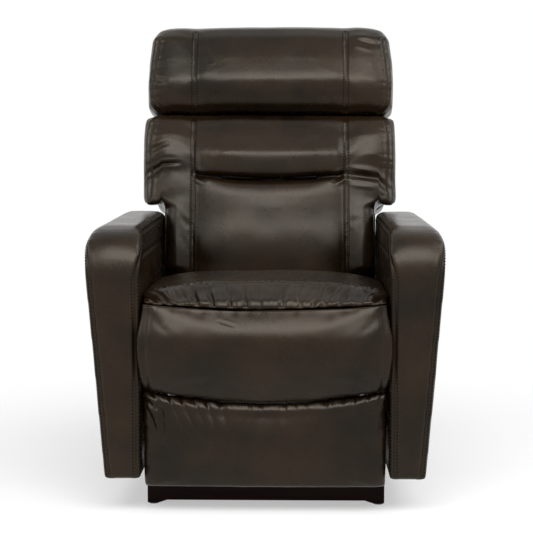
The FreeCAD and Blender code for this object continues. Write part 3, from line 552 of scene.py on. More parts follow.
TILT = math.radians(14.0)
BACK_FOOT = (0.095, 0.430)  # y and z of the lowest line of the back's face
INTO_BACK = Vector((0.0, math.cos(TILT), -math.sin(TILT)))
SEAM = 0.194  # from the middle to an upright seam
STITCH_ROW = 0.0068  # from a seam to its stitches
BACK_SPLIT = 0.468  # where the headrest sits on the back cushion
BACK_HELD = 0.104  # deeper points lie on the frame and don't swell
ARM_INNER = 0.271
ARM_TOP = 0.630
CLEAR = 0.0006  # least room between neighbouring pads
FAR = 0.3  # rays start this far off a face


def to_back(co):
    """Points of the room in the back's own frame, as x, n and s."""
    y = co[:, 1] - BACK_FOOT[0]
    z = co[:, 2] - BACK_FOOT[1]
    return co[:, 0].copy(), y * math.cos(TILT) - z * math.sin(TILT), y * math.sin(TILT) + z * math.cos(TILT)


def from_back(x, n, s):
    """The way back from the back's own frame to the room."""
    y = BACK_FOOT[0] + s * math.sin(TILT) + n * math.cos(TILT)
    z = BACK_FOOT[1] + s * math.cos(TILT) - n * math.sin(TILT)
    return np.stack([x, y, z], axis=1)


def back_point(x, n, s):
    return Vector(from_back(np.array([x]), np.array([n]), np.array([s]))[0])


def facing_front(mesh):
    """1 where a surface faces the sitter, 0 where it faces away or aside."""
    up = normals(mesh)
    return rise(-(up[:, 1] * math.cos(TILT) - up[:, 2] * math.sin(TILT)), 0.05, 0.6)


def hits(tree, rays):
    """Where rays meet a surface, as (point, normal)."""
    found = []
    for start, way in rays:
        point, normal, _, _ = tree.ray_cast(Vector(start), Vector(way).normalized())
        if point is not None:
            found.append((point, normal))
    return found


def steps(low, high, count):
    return [low + (high - low) * i / count for i in range(count + 1)]


def face_line(tree, x, low, high):
    """An upright line down the face of the back."""
    return hits(tree, [(back_point(x, -FAR, s), INTO_BACK) for s in steps(low, high, 90)])


def corner_line(tree, side, low, high):
    """The sewn edge between the front and the side of the back."""
    way = Vector((-side, 0, 0)) + INTO_BACK
    return hits(tree, [(back_point(side * 2 * FAR, -FAR, s), way) for s in steps(low, high, 90)])


def points_of(line):
    return [point for point, _ in line]


def raised(line, amount):
    return [point + normal * amount for point, normal in line]


def soft_lumps(mesh, amount, scale, seed):
    """The low unevenness of stuffing."""
    co = coordinates(mesh)
    put(mesh, co + normals(mesh) * (amount * clouds(co, scale, seed))[:, None])


def pillow(mesh, depth, width):
    """The padded panels dip towards the two upright seams."""
    x, n, s = to_back(coordinates(mesh))
    n = n + facing_front(mesh) * depth * bell(np.abs(x) - SEAM, width)
    put(mesh, from_back(x, n, s))


def sew_back(obj, label, low, high, side_low, side_high):
    """Upright double-stitched seams and piped sides."""
    mesh = obj.data
    tree = surface_tree(obj)
    for side in (-1, 1):
        seam = face_line(tree, side * SEAM, low, high)
        edge = corner_line(tree, side, side_low, side_high)
        groove(mesh, points_of(seam), 0.0032, 0.0030, 0.0006)
        groove(mesh, points_of(edge), 0.0036, 0.0040, 0.0014)
        away = from_line(mesh, points_of(edge), 0.05)
        co = coordinates(mesh)
        _, _, s = to_back(co)
        pucker = folds(s, 0.021, 8 + side) * bell(away - 0.014, 0.013)
        put(mesh, co - normals(mesh) * (0.0013 * pucker)[:, None])
    tree = surface_tree(obj)
    rows = []
    for side in (-1, 1):
        for row in (-STITCH_ROW, STITCH_ROW):
            rows.append(face_line(tree, side * SEAM + row, low, high))
        edge = corner_line(tree, side, side_low, side_high)
        name = label + ("_piping_left" if side > 0 else "_piping_right")
        piping(name, raised(edge, 0.0002), 0.0017, "back")
    stitches(label + "_stitches", rows, "back")


PAD_GRID = 0.006
HEAD_BULGE = 0.010
HEAD_FULLEST = 0.532
HEAD_WIDER = 0.012
HEAD_HIGHER = 0.010
# Creases: start and end on the face as (x, s), depth and width
HEAD_CREASES = (
    ((-0.180, 0.668), (-0.152, 0.600), 0.0020, 0.005),
    ((0.215, 0.655), (0.262, 0.640), 0.0030, 0.007),
    ((-0.300, 0.560), (-0.262, 0.545), 0.0024, 0.006),
)

headrest = remeshed("headrest", "headrest_leather", PAD_GRID)
_, deep, _ = to_back(coordinates(headrest.data))
swell(headrest, (deep > BACK_HELD).astype(float), cap=0.022, gain=0.5)
finer(headrest)
mesh = headrest.data
x, n, s = to_back(coordinates(mesh))
front = facing_front(mesh)
s = np.maximum(s, BACK_SPLIT + CLEAR)
n = n - front * HEAD_BULGE * bell(s - HEAD_FULLEST, 0.050) * (1 - 0.5 * (x / 0.3) ** 2)
for start, end, depth, width in HEAD_CREASES:
    n = n + front * crease(x, s, start, end, depth, width)
x = x + np.sign(x) * HEAD_WIDER * rise(np.abs(x), 0.215, 0.290) * rise(s, 0.470, 0.490)
s = s + HEAD_HIGHER * rise(s, 0.600, 0.700)
put(mesh, from_back(x, n, s))
pillow(mesh, 0.0025, 0.022)
soft_lumps(mesh, 0.0026, 4.5, 11)
sew_back(headrest, "headrest", 0.474, 0.688, 0.474, 0.666)
finish_pad(headrest, "back", ["headrest"])

TUCK_SIDE = 0.309  # height of the tuck across the back at the seams
TUCK_SAG = 0.0135  # and how far it hangs lower in the middle
TUCK_SOLID = 0.286  # where the solid has its tuck
LUMBAR = 0.112
LUMBAR_BULGE = 0.010
PANEL_REF = 0.172  # the side panels go on from the face at this place
PANEL_EDGE = 0.262
PANEL_ROUND = 0.030
WING_EDGE = 0.302
WING_WIDER = 0.018
WING_LOW = 0.224  # the wings' lower edge at the face, which clears the arms when the back reclines
WING_LOW_BEHIND = 0.012  # and how much higher it is farther back
WING_STAYS = 0.42  # from here up the wings keep their form
BACK_CREASES = (
    ((-0.302, 0.329), (-0.230, 0.331), 0.0032, 0.0042),
    ((-0.292, 0.365), (-0.254, 0.382), 0.0024, 0.0060),
    ((0.204, 0.302), (0.284, 0.290), 0.0085, 0.0085),
    ((0.208, 0.284), (0.262, 0.276), 0.0030, 0.0050),
    ((0.224, 0.208), (0.297, 0.228), 0.0055, 0.0070),
    ((0.214, 0.182), (0.283, 0.208), 0.0050, 0.0080),
    ((-0.295, 0.256), (-0.252, 0.205), 0.0036, 0.0060),
    ((-0.262, 0.226), (-0.206, 0.172), 0.0040, 0.0065),
    ((-0.246, 0.190), (-0.208, 0.110), 0.0030, 0.0070),
    ((0.252, 0.190), (0.216, 0.110), 0.0034, 0.0080),
    ((-0.190, 0.304), (-0.166, 0.290), 0.0040, 0.0060),
    ((0.190, 0.304), (0.164, 0.288), 0.0050, 0.0060),
)


def running_mean(values, half):
    """Each value's mean with its neighbours, half of them on each side."""
    return np.convolve(np.pad(values, half, "edge"), np.ones(2 * half + 1) / (2 * half + 1), "valid")


def tucked(x, n, s, front):
    """The bulge over the tuck, the tuck itself and the fuller lower back."""
    middle = rise(SEAM - np.abs(x), -0.004, 0.022)
    smile = TUCK_SIDE - TUCK_SAG * (1.0 - np.minimum(np.abs(x) / SEAM, 1.0) ** 2)
    s = s + (smile - TUCK_SOLID) * bell(s - TUCK_SOLID - 0.002, 0.060)
    over = s - smile
    n = n + front * middle * (0.011 * bell(over, 0.010) - 0.007 * bell(over - 0.046, 0.040))
    s = s - front * middle * 0.014 * bell(over - 0.017, 0.016)
    n = n - front * (0.35 + 0.65 * middle) * LUMBAR_BULGE * bell(s - LUMBAR, 0.070)
    return n, s


def flat_panels(x, n, s, front):
    """The lower side panels go on flat from the face and end in a round edge."""
    across = np.abs(x)
    level = np.linspace(0.02, 0.44, 60)
    flat = (np.abs(across - PANEL_REF) < 0.012) & (front > 0.5)
    face = np.array([n[flat & (np.abs(s - low) < 0.020)].min(initial=0.06) for low in level])
    face = running_mean(face, 5)
    edge = PANEL_EDGE + (WING_EDGE - PANEL_EDGE) * rise(s, 0.215, 0.250)
    past = np.clip(across - edge + PANEL_ROUND, 0.0, PANEL_ROUND - 0.0001)
    corner = np.interp(s, level, face) + 0.004 * rise(across, 0.20, 0.25)
    corner = corner + PANEL_ROUND - np.sqrt(PANEL_ROUND ** 2 - past ** 2)
    zone = rise(across, 0.165, 0.235) * rise(s, 0.03, 0.07) * (1.0 - rise(s, 0.190, 0.320))
    return n - zone * np.maximum(n - corner, 0.0) * rise(front, 0.0, 0.2)


def lower_wings(x, n, s):
    """The wings' lower edge comes down to just over the arms, as far as the reclining back leaves room."""
    across = np.abs(x)
    places = np.linspace(0.266, 0.326, 31)
    edge = np.array([s[(np.abs(across - at) < 0.003) & (s > 0.20)].min(initial=0.31) for at in places])
    edge = np.interp(across, places, np.minimum(running_mean(edge, 2), 0.31))
    lower = np.maximum(edge - WING_LOW - WING_LOW_BEHIND * rise(n, 0.0, 0.060), 0.0)
    lower = lower * rise(across, 0.266, 0.280)
    return s - lower * rise(WING_STAYS - s, 0.0, WING_STAYS - edge) * (1.0 - rise(n, 0.045, 0.085))


cushion = remeshed("back_cushion", "back_cushion_leather", PAD_GRID)
_, deep, _ = to_back(coordinates(cushion.data))
swell(cushion, (deep > BACK_HELD).astype(float), cap=0.022, gain=0.45)
finer(cushion)
mesh = cushion.data
x, n, s = to_back(coordinates(mesh))
front = facing_front(mesh)
s = np.minimum(s, BACK_SPLIT - CLEAR)
n, s = tucked(x, n, s, front)
for start, end, depth, width in BACK_CREASES:
    n = n + front * crease(x, s, start, end, depth, width)
n = flat_panels(x, n, s, front)
wing = rise(np.abs(x), 0.215, 0.290) * rise(s, 0.236, 0.262) * (1.0 - rise(s, 0.455, 0.468))
x = x + np.sign(x) * WING_WIDER * wing
s = lower_wings(x, n, s)
put(mesh, from_back(x, n, s))
pillow(mesh, 0.0025, 0.022)
soft_lumps(mesh, 0.0026, 4.5, 21)
# Between the arms the sides fill the room, and stay clear of the arms
co = coordinates(mesh)
_, n, s = to_back(co)
beside = rise(np.abs(normals(mesh)[:, 0]), 0.35, 0.75) * rise(n, 0.045, 0.080) * rise(-s, -0.236, -0.222)
room = ARM_INNER - CLEAR
wide = np.abs(co[:, 0]) + beside * np.maximum(room - np.abs(co[:, 0]), 0.0)
wide = np.where(co[:, 2] < ARM_TOP + 0.002, np.minimum(wide, room), wide)
co[:, 0] = np.sign(co[:, 0]) * wide
put(mesh, co)
sew_back(cushion, "back", 0.02, 0.462, 0.245, 0.462)
finish_pad(cushion, "back", ["back_cushion"])

# Tailored cover behind the back

COVER_SEAM = 0.2


def cover_line(tree, x):
    """An upright line on the back of the cover."""
    return hits(tree, [(back_point(x, 0.5, s), -INTO_BACK) for s in steps(-0.205, 0.60, 80)])


cover = remeshed("back_cover", "back_cover_leather", PAD_GRID)
mesh = cover.data
put(mesh, smooth_steps(mesh, coordinates(mesh), 5))
soft_lumps(mesh, 0.0012, 6.0, 31)
tree = surface_tree(cover)
for side in (-1, 1):
    groove(mesh, points_of(cover_line(tree, side * COVER_SEAM)), 0.0030, 0.0034, 0.0006)
tree = surface_tree(cover)
rows = []
for side in (-1, 1):
    for row in (-STITCH_ROW, STITCH_ROW):
        rows.append(cover_line(tree, side * COVER_SEAM + row))
stitches("back_cover_stitches", rows, "back")
finish_pad(cover, "back", ["back_cover"])

# Seat cushion with a gathered front band

SEAT_LIP = 0.4623  # height of the seam between the seat and the front roll
SEAT_NOSE = 0.446  # how far forward the seat reaches
SEAT_HALF = 0.267
LIP_BACK = 0.4005  # below the lip the seat stays behind this, where the roll begins
LIP_SAG = 0.012
SEAT_STITCHES = 0.4692  # height of the stitches over the lip
BAND_DEEP = 0.090  # from the nose to the seam behind the gathered band
SEAT_CROWN = 0.016


def lip_sag(x):
    """The sewn front edge sags towards the middle of the seat."""
    return 0.003 - LIP_SAG * (1.0 - np.minimum(np.abs(x) / SEAT_HALF, 1.0) ** 2)


def noise_along(x, scale, seed):
    """Noise that changes across the chair only."""
    return hash_noise(np.stack([x, x * 0, x * 0], axis=1), scale, seed)


def between_arms(x, room):
    return np.clip(x, -ARM_INNER + room, ARM_INNER - room)


seat = remeshed("seat_cushion", "seat_leather", PAD_GRID)
place = coordinates(seat.data)
lip = (place[:, 1] < -0.385) & (place[:, 2] < SEAT_LIP + 0.003)
swell(seat, ((place[:, 2] < 0.380) | (place[:, 1] > 0.085) | lip).astype(float), cap=0.022, gain=0.4)
finer(seat)
mesh = seat.data
co = coordinates(mesh)
x = co[:, 0]
front = -co[:, 1]
nose = rise(front, SEAT_NOSE - 0.05, SEAT_NOSE)
low = co[:, 2] < SEAT_LIP - 0.006
co[:, 1] = np.where(low, np.maximum(co[:, 1], -LIP_BACK), co[:, 1])
co[:, 2] = np.where(~low & (front > 0.404), np.maximum(co[:, 2], SEAT_LIP + 0.0004), co[:, 2])
co[:, 2] = co[:, 2] + lip_sag(x) * bell(co[:, 2] - SEAT_LIP, 0.022) * nose
co[:, 0] = between_arms(co[:, 0], 0.0005)
put(mesh, co)
# Gathers fan out from the nose over the band, up to a puckered seam
up = normals(mesh)
behind = SEAT_NOSE + 0.008 - front
fan = x * (1.0 - 2.2 * behind)
reach = behind + 0.022 * noise_along(x, 45.0, 3)
band = rise(up[:, 2] - up[:, 1], 0.1, 0.6) * rise(behind, -0.002, 0.012) * (1.0 - rise(reach, 0.030, 0.105))
fan = fan + 0.006 * hash_noise(np.stack([x, behind, x * 0], axis=1), 28.0, 6)
gather = 0.0160 * folds(fan, 0.033, 4) + 0.0060 * folds(fan + 0.007, 0.0160, 9)
calm = 0.55 + 0.45 * rise(-x, -0.05, 0.16) + 0.25 * rise(x, 0.14, 0.24)
crown = rise(behind, 0.012, 0.088) * (1.0 - rise(behind, 0.34, 0.50)) * (1.0 - 0.5 * (x / 0.27) ** 4)
ridge = 0.0040 * bell(behind - BAND_DEEP, 0.022) + SEAT_CROWN * crown
pucker = 0.0035 * bell(behind - BAND_DEEP, 0.005)
pucker = pucker + 0.0040 * folds(x, 0.0150, 12) * bell(behind - BAND_DEEP - 0.010, 0.011)
lift = (ridge - pucker) * rise(up[:, 2], 0.3, 0.8) - band * gather * calm
put(mesh, co + up * lift[:, None])
soft_lumps(mesh, 0.0022, 9.0, 41)
co = coordinates(mesh)
co[:, 0] = between_arms(co[:, 0], 0.0004)
put(mesh, co)
tree = surface_tree(seat)
rays = []
for x in steps(-0.260, 0.260, 130):
    rays.append(((x, -0.8, SEAT_STITCHES + float(lip_sag(x))), (0, 1, -0.05)))
stitches("seat_stitches", [hits(tree, rays)], "rocker")
finish_pad(seat, "rocker", ["seat_cushion"])

# Front roll

ROLL_HALF = 0.265
ROLL_BULGE = 0.018
FINE_GRID = 0.005


def parting(x):
    """Where the roll's lower edge rests on the footrest's top edge."""
    return 0.2490 + 0.030 * (np.abs(x) / ROLL_HALF) ** 2


def before_arms(x, front):
    """Keeps points between the arms, and lets them spread a little where they stand in front of them."""
    limit = ARM_INNER - CLEAR + 0.9 * np.clip(front - 0.441, 0.0, 0.009)
    return np.clip(x, -limit, limit)


roll = remeshed("front_roll", "front_roll_leather", FINE_GRID)
place = coordinates(roll.data)
face = normals(roll.data)
swell(roll, ((face[:, 1] > 0.35) & (place[:, 2] > 0.30)).astype(float), cap=0.014, gain=0.5)
finer(roll)
mesh = roll.data
co = coordinates(mesh)
x = co[:, 0]
front = -co[:, 1]
sewn = rise(co[:, 2], 0.415, 0.458) * rise(front, 0.415, 0.442)
co[:, 2] = np.minimum(co[:, 2] + 0.008 * sewn, SEAT_LIP - 0.0002)
co[:, 2] = co[:, 2] + lip_sag(x) * bell(co[:, 2] - SEAT_LIP, 0.030)
co[:, 2] = co[:, 2] - 0.0085 * rise(parting(x) + 0.050 - co[:, 2], 0.0, 0.044)
co[:, 2] = np.maximum(co[:, 2], parting(x) + CLEAR)
co[:, 0] = before_arms(x, front)
put(mesh, co)
up = normals(mesh)
ahead = rise(-up[:, 1], 0.1, 0.6)
x = co[:, 0]
fall = crease(x, co[:, 2], (-0.100, 0.432), (-0.062, 0.420), 0.0007, 0.0028)
fall = fall + 0.0030 * bell(np.abs(x) - 0.254, 0.006) - 0.0010 * bell(np.abs(x) - 0.263, 0.004)
fall = fall + 0.0022 * folds(x, 0.034, 14) * bell(co[:, 2] - SEAT_LIP - lip_sag(x), 0.010)
fall = fall - ROLL_BULGE * rise(co[:, 2], 0.250, 0.370) * (1.0 - rise(co[:, 2], 0.385, 0.466))
put(mesh, co - up * (ahead * fall)[:, None])
soft_lumps(mesh, 0.0015, 8.0, 51)
finish_pad(roll, "roll", ["front_roll"])

# Footrest pad with pleats below its top edge

foot = remeshed("footrest_pad", "footrest_leather", FINE_GRID)
place = coordinates(foot.data)
swell(foot, (place[:, 1] > -0.379).astype(float), cap=0.014, gain=0.5)
finer(foot)
mesh = foot.data
co = coordinates(mesh)
x = co[:, 0]
front = -co[:, 1]
raise_edge = rise(co[:, 2] - parting(x) + 0.060, 0.0, 0.050) * rise(front, 0.385, 0.415)
co[:, 2] = co[:, 2] + 0.0090 * raise_edge
co[:, 2] = np.where(front > 0.390, np.minimum(co[:, 2], parting(x) - CLEAR), co[:, 2])
co[:, 0] = before_arms(x, front)
put(mesh, co)
up = normals(mesh)
x = co[:, 0]
ahead = rise(-up[:, 1] + 0.6 * up[:, 2], 0.1, 0.6)
below = parting(x) - co[:, 2]
left = rise(-x, 0.02, 0.16)
lean = x - below * (0.55 * left - 0.25 * rise(x, 0.05, 0.2))
run = 0.040 + 0.028 * left + 0.016 * noise_along(x, 24.0, 17)
pleat = folds(lean, 0.032, 23) * (0.0055 + 0.0050 * left) + 0.0022 * folds(lean, 0.0150, 29)
fall = pleat * np.exp(-np.maximum(below, 0.0) / run) * rise(below, -0.004, 0.006)
fall = fall - 0.0040 * bell(below - 0.016, 0.010)
fall = fall + crease(x, co[:, 2], (-0.228, 0.237), (-0.220, 0.177), 0.0050, 0.0055)
fall = fall + crease(x, co[:, 2], (-0.262, 0.257), (-0.240, 0.240), 0.0045, 0.0055)
fall = fall + 0.0024 * folds(co[:, 2], 0.027, 33) * bell(np.abs(x) - 0.260, 0.012)
put(mesh, co - up * (ahead * fall)[:, None])
soft_lumps(mesh, 0.0018, 8.0, 61)
finish_pad(foot, "footrest", ["footrest_pad"])

# Padded arms with a front band between two stitched seams

ARM_FRONT = -0.440
ARM_ROUND = 0.105
ARM_LONG = 0.685
ARM_LOW = 0.080
ARM_OUT_LOW = 0.352  # the outer face leans out from here
ARM_LEAN = 0.038  # by this
ARM_LEAN_HIGH = 0.450  # over this height
ARM_MOST = 0.3945
ARM_GRID = 0.007
LEVER = (-0.115, 0.306)  # y and z of the lever's rod, which leaves the right arm
LEVER_SWEEP = 0.155
SEAM_IN_OUTER = 0.013  # from the arm's outer face to the band's outer seam
SEAM_IN_INNER = 0.010  # and from the inner face to the inner one


def arm_outer(z):
    return ARM_OUT_LOW + ARM_LEAN * np.clip((z - ARM_LOW) / ARM_LEAN_HIGH, 0.0, 1.0)


def band_line(tree, side, outer):
    """One seam of the band: up the front, over the rounded top and back along the arm."""
    rays = []
    turn_y = ARM_FRONT + ARM_ROUND
    turn_z = ARM_TOP - ARM_ROUND
    for z in steps(0.088, turn_z, 60):
        across = arm_outer(z) - SEAM_IN_OUTER if outer else ARM_INNER + SEAM_IN_INNER
        rays.append(((side * across, -0.9, z), (0, 1, 0)))
    low = arm_outer(turn_z) - SEAM_IN_OUTER if outer else ARM_INNER + SEAM_IN_INNER
    high = 0.342 if outer else 0.308
    lean = 0.75 if outer else -0.75
    for i in range(1, 31):
        part = i / 30
        turn = part * math.pi / 2
        across = low + (high - low) * part
        way = Vector((side * lean * part, -math.cos(turn), math.sin(turn))).normalized()
        middle = Vector((side * across, turn_y, turn_z + part * 0.045))
        rays.append((middle + way * 0.4, -way))
    way = Vector((side * lean, 0, 1)).normalized()
    for y in steps(turn_y + 0.005, 0.205, 60):
        rays.append((Vector((side * high, y, turn_z + 0.045)) + way * 0.4, -way))
    return hits(tree, rays)


for side, name in ((1, "left"), (-1, "right")):
    arm = remeshed("arm_cover_" + name, "arm_leather_" + name, ARM_GRID, hull=True)
    mesh = arm.data
    put(mesh, smooth_steps(mesh, coordinates(mesh), 4))
    finer(arm)
    mesh = arm.data
    co = coordinates(mesh)
    up = normals(mesh)
    across = np.abs(co[:, 0])
    outer = arm_outer(co[:, 2])
    part = np.clip((across - ARM_INNER) / (outer - ARM_INNER), 0.0, 1.0)
    ahead = rise(-up[:, 1], 0.2, 0.8)
    above = rise(up[:, 2], 0.2, 0.8)
    swollen = np.sin(math.pi * part)
    lift = 0.009 * ahead * swollen * rise(co[:, 2], 0.075, 0.16) + 0.0015 * above * swollen
    outside = rise(up[:, 0] * side, 0.5, 0.95)
    along = np.clip((co[:, 1] - ARM_FRONT) / ARM_LONG, 0.0, 1.0)
    lift = lift + 0.003 * outside * np.sin(math.pi * along) * rise(co[:, 2], 0.08, 0.2)
    lift = lift - ahead * crease(across, co[:, 2], (0.282, 0.500), (0.340, 0.512), 0.0006, 0.010)
    put(mesh, co + up * lift[:, None])
    soft_lumps(mesh, 0.0009, 6.0, 71 + side)
    co = coordinates(mesh)
    reach = np.clip(np.abs(co[:, 0]), ARM_INNER - 0.0002, ARM_MOST)
    if name == "right":
        from_lever = np.hypot(co[:, 1] - LEVER[0], co[:, 2] - LEVER[1])
        flat_by_lever = rise(LEVER_SWEEP - from_lever, 0.0, 0.03)
        reach = reach - flat_by_lever * np.maximum(reach - outer - 0.0004, 0.0)
    co[:, 0] = side * reach
    put(mesh, co)
    tree = surface_tree(arm)
    for outside_seam in (True, False):
        groove(mesh, points_of(band_line(tree, side, outside_seam)), 0.0030, 0.0042, 0.0008)
    inner_seam = hits(tree, [((0, y, 0.566), (side, 0, 0)) for y in steps(-0.36, 0.2, 60)])
    groove(mesh, points_of(inner_seam), 0.0024, 0.0040, 0.0006)
    tree = surface_tree(arm)
    rows = []
    for outside_seam in (True, False):
        centre = band_line(tree, side, outside_seam)
        spots = points_of(centre)
        for way in ((-1, 1) if not outside_seam else (-1,)):
            row = []
            for i, (point, normal) in enumerate(centre):
                ahead_spot = spots[min(i + 1, len(spots) - 1)] - spots[max(i - 1, 0)]
                beside = normal.cross(ahead_spot).normalized() * (0.0062 * way * side)
                start = point + beside + normal * 0.05
                row += hits(tree, [(start, -normal)])
            rows.append(row)
        label = "arm_piping_" + name + ("_outer" if outside_seam else "_inner")
        piping(label, spots, 0.0014, "rocker")
    stitches("arm_stitches_" + name, rows, "rocker")
    finish_pad(arm, "rocker", ["arm_cover_" + name])


# Fasteners, and the trim ring where the lever's rod leaves the right arm

def turned(work, spot, axis, profile, sides):
    """A turned or many-sided form from (radius, height) pairs along an axis."""
    up = Vector(axis).normalized()
    first = up.orthogonal().normalized()
    second = up.cross(first)
    rings = []
    for radius, height in profile:
        ring = []
        for k in range(sides):
            turn = 2 * math.pi * k / sides
            out = first * math.cos(turn) + second * math.sin(turn)
            ring.append(work.verts.new(Vector(spot) + up * height + out * radius))
        rings.append(ring)
    for low, high in zip(rings, rings[1:]):
        for k in range(sides):
            work.faces.new((low[k], low[(k + 1) % sides], high[(k + 1) % sides], high[k]))
    return rings


def solid_piece(name, work, body, material):
    """Makes a piece of what was drawn, and sets it on its body."""
    mesh = bpy.data.meshes.new(name)
    bmesh.ops.recalc_face_normals(work, faces=work.faces)
    work.to_mesh(mesh)
    work.free()
    mesh.materials.append(material)
    obj = bpy.data.objects.new(name, mesh)
    scene.collection.objects.link(obj)
    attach(obj, body)
    return obj


def bolts(name, spots, axis_of, body, size=0.0055):
    """Hexagon heads on washers. Sizes go by the bolt's own, heights are real ones."""
    work = bmesh.new()
    for spot in spots:
        axis = axis_of(spot)
        plate = [(size * 1.9, 0.0), (size * 1.9, 0.0010), (size * 1.75, 0.0014)]
        head = [(size * 1.15, 0.0012), (size * 1.15, 0.0046), (size * 0.95, 0.0054)]
        for profile, sides in ((plate, 28), (head, 6)):
            rings = turned(work, spot, axis, profile, sides)
            work.faces.new(rings[0][::-1])
            work.faces.new(rings[-1])
    solid_piece(name, work, body, ZINC)


def inward(spot):
    return (-spot[0], 0, 0)


def outward(spot):
    return (spot[0], 0, 0)


def upward(spot):
    return (0, 0, 1)


def rearward(spot):
    return (0, 1, 0)


PLATE_IN = 0.230  # the side plates' inner faces
CAM_MIDDLE = 0.251
FLANGE_TOP = 0.144  # the upper faces of the side plates' lower flanges
FOOT_BRACKET = 0.205
BACK_BRACKET = 0.2285  # the outer faces of the back's brackets
BLOCK_IN = 0.190  # the corner blocks' inner faces
LEVER_OUT = -0.3850  # the lever's outer face
BOTH = (-1, 1)

block_bolts = [(side * PLATE_IN, y, 0.220) for side in BOTH for y in (-0.190, -0.080, 0.030)]
bolts("arm_block_bolts", block_bolts, inward, "rocker")
cam_bolts = [(side * CAM_MIDDLE, y, FLANGE_TOP) for side in BOTH for y in (-0.080, 0.040)]
bolts("cam_bolts", cam_bolts, upward, "rocker")
foot_bolts = [(side * FOOT_BRACKET, -0.356, z) for side in BOTH for z in (0.105, 0.165)]
bolts("footrest_bolts", foot_bolts, rearward, "footrest")
back_bolts = [tuple(back_point(side * BACK_BRACKET, 0.131, s)) for side in BOTH for s in (0.012, 0.046)]
bolts("back_bracket_bolts", back_bolts, outward, "back")
block_screws = [(side * BLOCK_IN, y, 0.031) for side in BOTH for y in (-0.286, 0.194)]
bolts("corner_block_screws", block_screws, inward, "base", 0.0040)
bolts("lever_screw", [(LEVER_OUT, *LEVER)], outward, "drive", 0.0045)

# The bezel's section, as (radius, height) round the rod
BEZEL = (
    (0.0125, -0.004), (0.0125, 0.0030), (0.0145, 0.0042),
    (0.0205, 0.0042), (0.0235, 0.0024), (0.0245, -0.004),
)
BEZEL_OUT = -0.3722

ring = bmesh.new()
turned(ring, (BEZEL_OUT, *LEVER), (-1, 0, -ARM_LEAN / ARM_LEAN_HIGH), BEZEL + BEZEL[:1], 48)
bezel = solid_piece("lever_bezel", ring, "rocker", BLACK_PLASTIC)
for face in bezel.data.polygons:
    face.use_smooth = True


# Rocker springs, as smooth-shaded copies of the CAD springs, which are hidden

for name in ("left", "right"):
    solid = "rocker_springs_" + name
    low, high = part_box(solid)
    coils = bpy.data.objects.new("rocker_coils_" + name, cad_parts[solid].data.copy())
    scene.collection.objects.link(coils)
    for face in coils.data.polygons:
        face.use_smooth = True
    across = (low[0] + high[0]) / 2
    along = (low[1] + high[1]) / 2
    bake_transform(coils)
    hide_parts(solid)


# Stage, light and camera

def seen_by(tree):
    """1 where the camera looks, also by a mirroring or through a clear piece, and 0 for other light."""
    rays = tree.nodes.new("ShaderNodeLightPath")
    found = rays.outputs["Is Camera Ray"]
    for kind in ("Is Glossy Ray", "Is Transmission Ray"):
        node = tree.nodes.new("ShaderNodeMath")
        node.operation = "MAXIMUM"
        tree.links.new(found, node.inputs[0])
        tree.links.new(rays.outputs[kind], node.inputs[1])
        found = node.outputs["Value"]
    return found


def floor_material():
    """Pale near the chair, where its shadow falls, and white farther off where it is looked at."""
    mat, tree, shader = new_material("floor_pale")
    shader.inputs["Base Color"].default_value = (0.95, 0.95, 0.95, 1.0)
    shader.inputs["Roughness"].default_value = 0.7
    shader.inputs["Specular IOR Level"].default_value = 0.05
    place = tree.nodes.new("ShaderNodeTexCoord")
    radius = tree.nodes.new("ShaderNodeVectorMath")
    radius.operation = "LENGTH"
    tree.links.new(place.outputs["Object"], radius.inputs[0])
    far = spread(tree, radius.outputs["Value"], 0.45, 1.0)
    far.interpolation_type = "SMOOTHSTEP"
    far.inputs["From Min"].default_value = 0.5
    far.inputs["From Max"].default_value = 1.6
    fade = tree.nodes.new("ShaderNodeMath")
    fade.operation = "MULTIPLY"
    tree.links.new(far.outputs["Result"], fade.inputs[0])
    tree.links.new(seen_by(tree), fade.inputs[1])
    white = tree.nodes.new("ShaderNodeEmission")
    mix = tree.nodes.new("ShaderNodeMixShader")
    tree.links.new(fade.outputs["Value"], mix.inputs["Fac"])
    tree.links.new(shader.outputs["BSDF"], mix.inputs[1])
    tree.links.new(white.outputs["Emission"], mix.inputs[2])
    tree.links.new(mix.outputs["Shader"], tree.nodes["Material Output"].inputs["Surface"])
    return mat


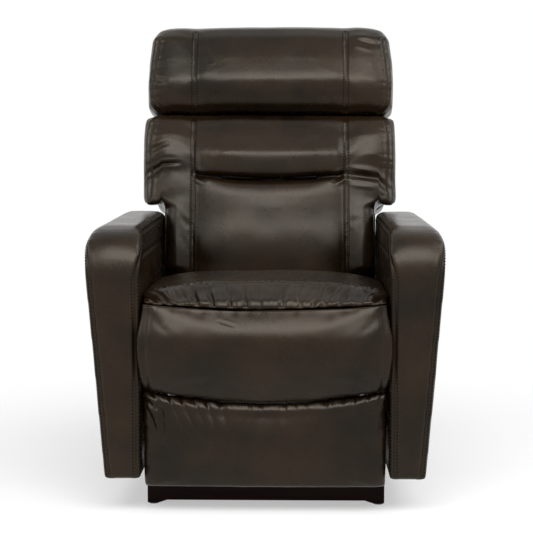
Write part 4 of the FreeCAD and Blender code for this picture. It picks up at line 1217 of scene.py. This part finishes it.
floor_mesh = bpy.data.meshes.new("floor")
floor_mesh.from_pydata([(-5, -6, 0), (5, -6, 0), (5, 4.5, 0), (-5, 4.5, 0)], [], [(0, 1, 2, 3)])
floor_mesh.materials.append(floor_material())
floor = bpy.data.objects.new("floor", floor_mesh)
scene.collection.objects.link(floor)

# The backdrop is white where it is seen, and a dim even light elsewhere
world = bpy.data.worlds.new("studio")
world.use_nodes = True
tree = world.node_tree
sky = tree.nodes["Background"]
glow = spread(tree, seen_by(tree), 0.35, 1.0)
tree.links.new(glow.outputs["Result"], sky.inputs["Strength"])
sky.inputs["Color"].default_value = (1.0, 1.0, 1.0, 1.0)
scene.world = world


def area_light(name, spot, aim, size, power):
    """A soft box at a spot, turned to what it lights."""
    lamp = bpy.data.lights.new(name, "AREA")
    lamp.shape = "RECTANGLE"
    lamp.size = size[0]
    lamp.size_y = size[1]
    lamp.energy = power
    obj = bpy.data.objects.new(name, lamp)
    obj.location = spot
    obj.rotation_euler = (Vector(aim) - Vector(spot)).to_track_quat("-Z", "Y").to_euler()
    scene.collection.objects.link(obj)


area_light("front", (0.2, -3.15, 3.30), (0.0, 0.0, 1.10), (4.6, 1.9), 205.0)
area_light("left", (-3.0, -1.5, 2.2), (0.0, 0.0, 0.75), (1.8, 1.8), 28.0)
area_light("key", (3.3, -0.9, 3.4), (0.0, 0.0, 0.3), (2.4, 2.4), 70.0)

# The camera as it was fitted to the photo
PHOTO_SIDE = 533.0  # pixels
FOCAL_PIXELS = 1521.0
SENSOR = 36.0
PITCH_DOWN = 5.37  # degrees
YAW = 1.137

camera_data = bpy.data.cameras.new("camera")
camera_data.sensor_width = SENSOR
camera_data.lens = FOCAL_PIXELS / PHOTO_SIDE * SENSOR
camera_data.clip_end = 200.0
camera = bpy.data.objects.new("camera", camera_data)
camera.location = (0.0685, -3.700, 0.8555)
camera.rotation_euler = (math.radians(90.0 - PITCH_DOWN), 0.0, math.radians(YAW))
scene.collection.objects.link(camera)
scene.camera = camera

scene.view_settings.view_transform = "Standard"
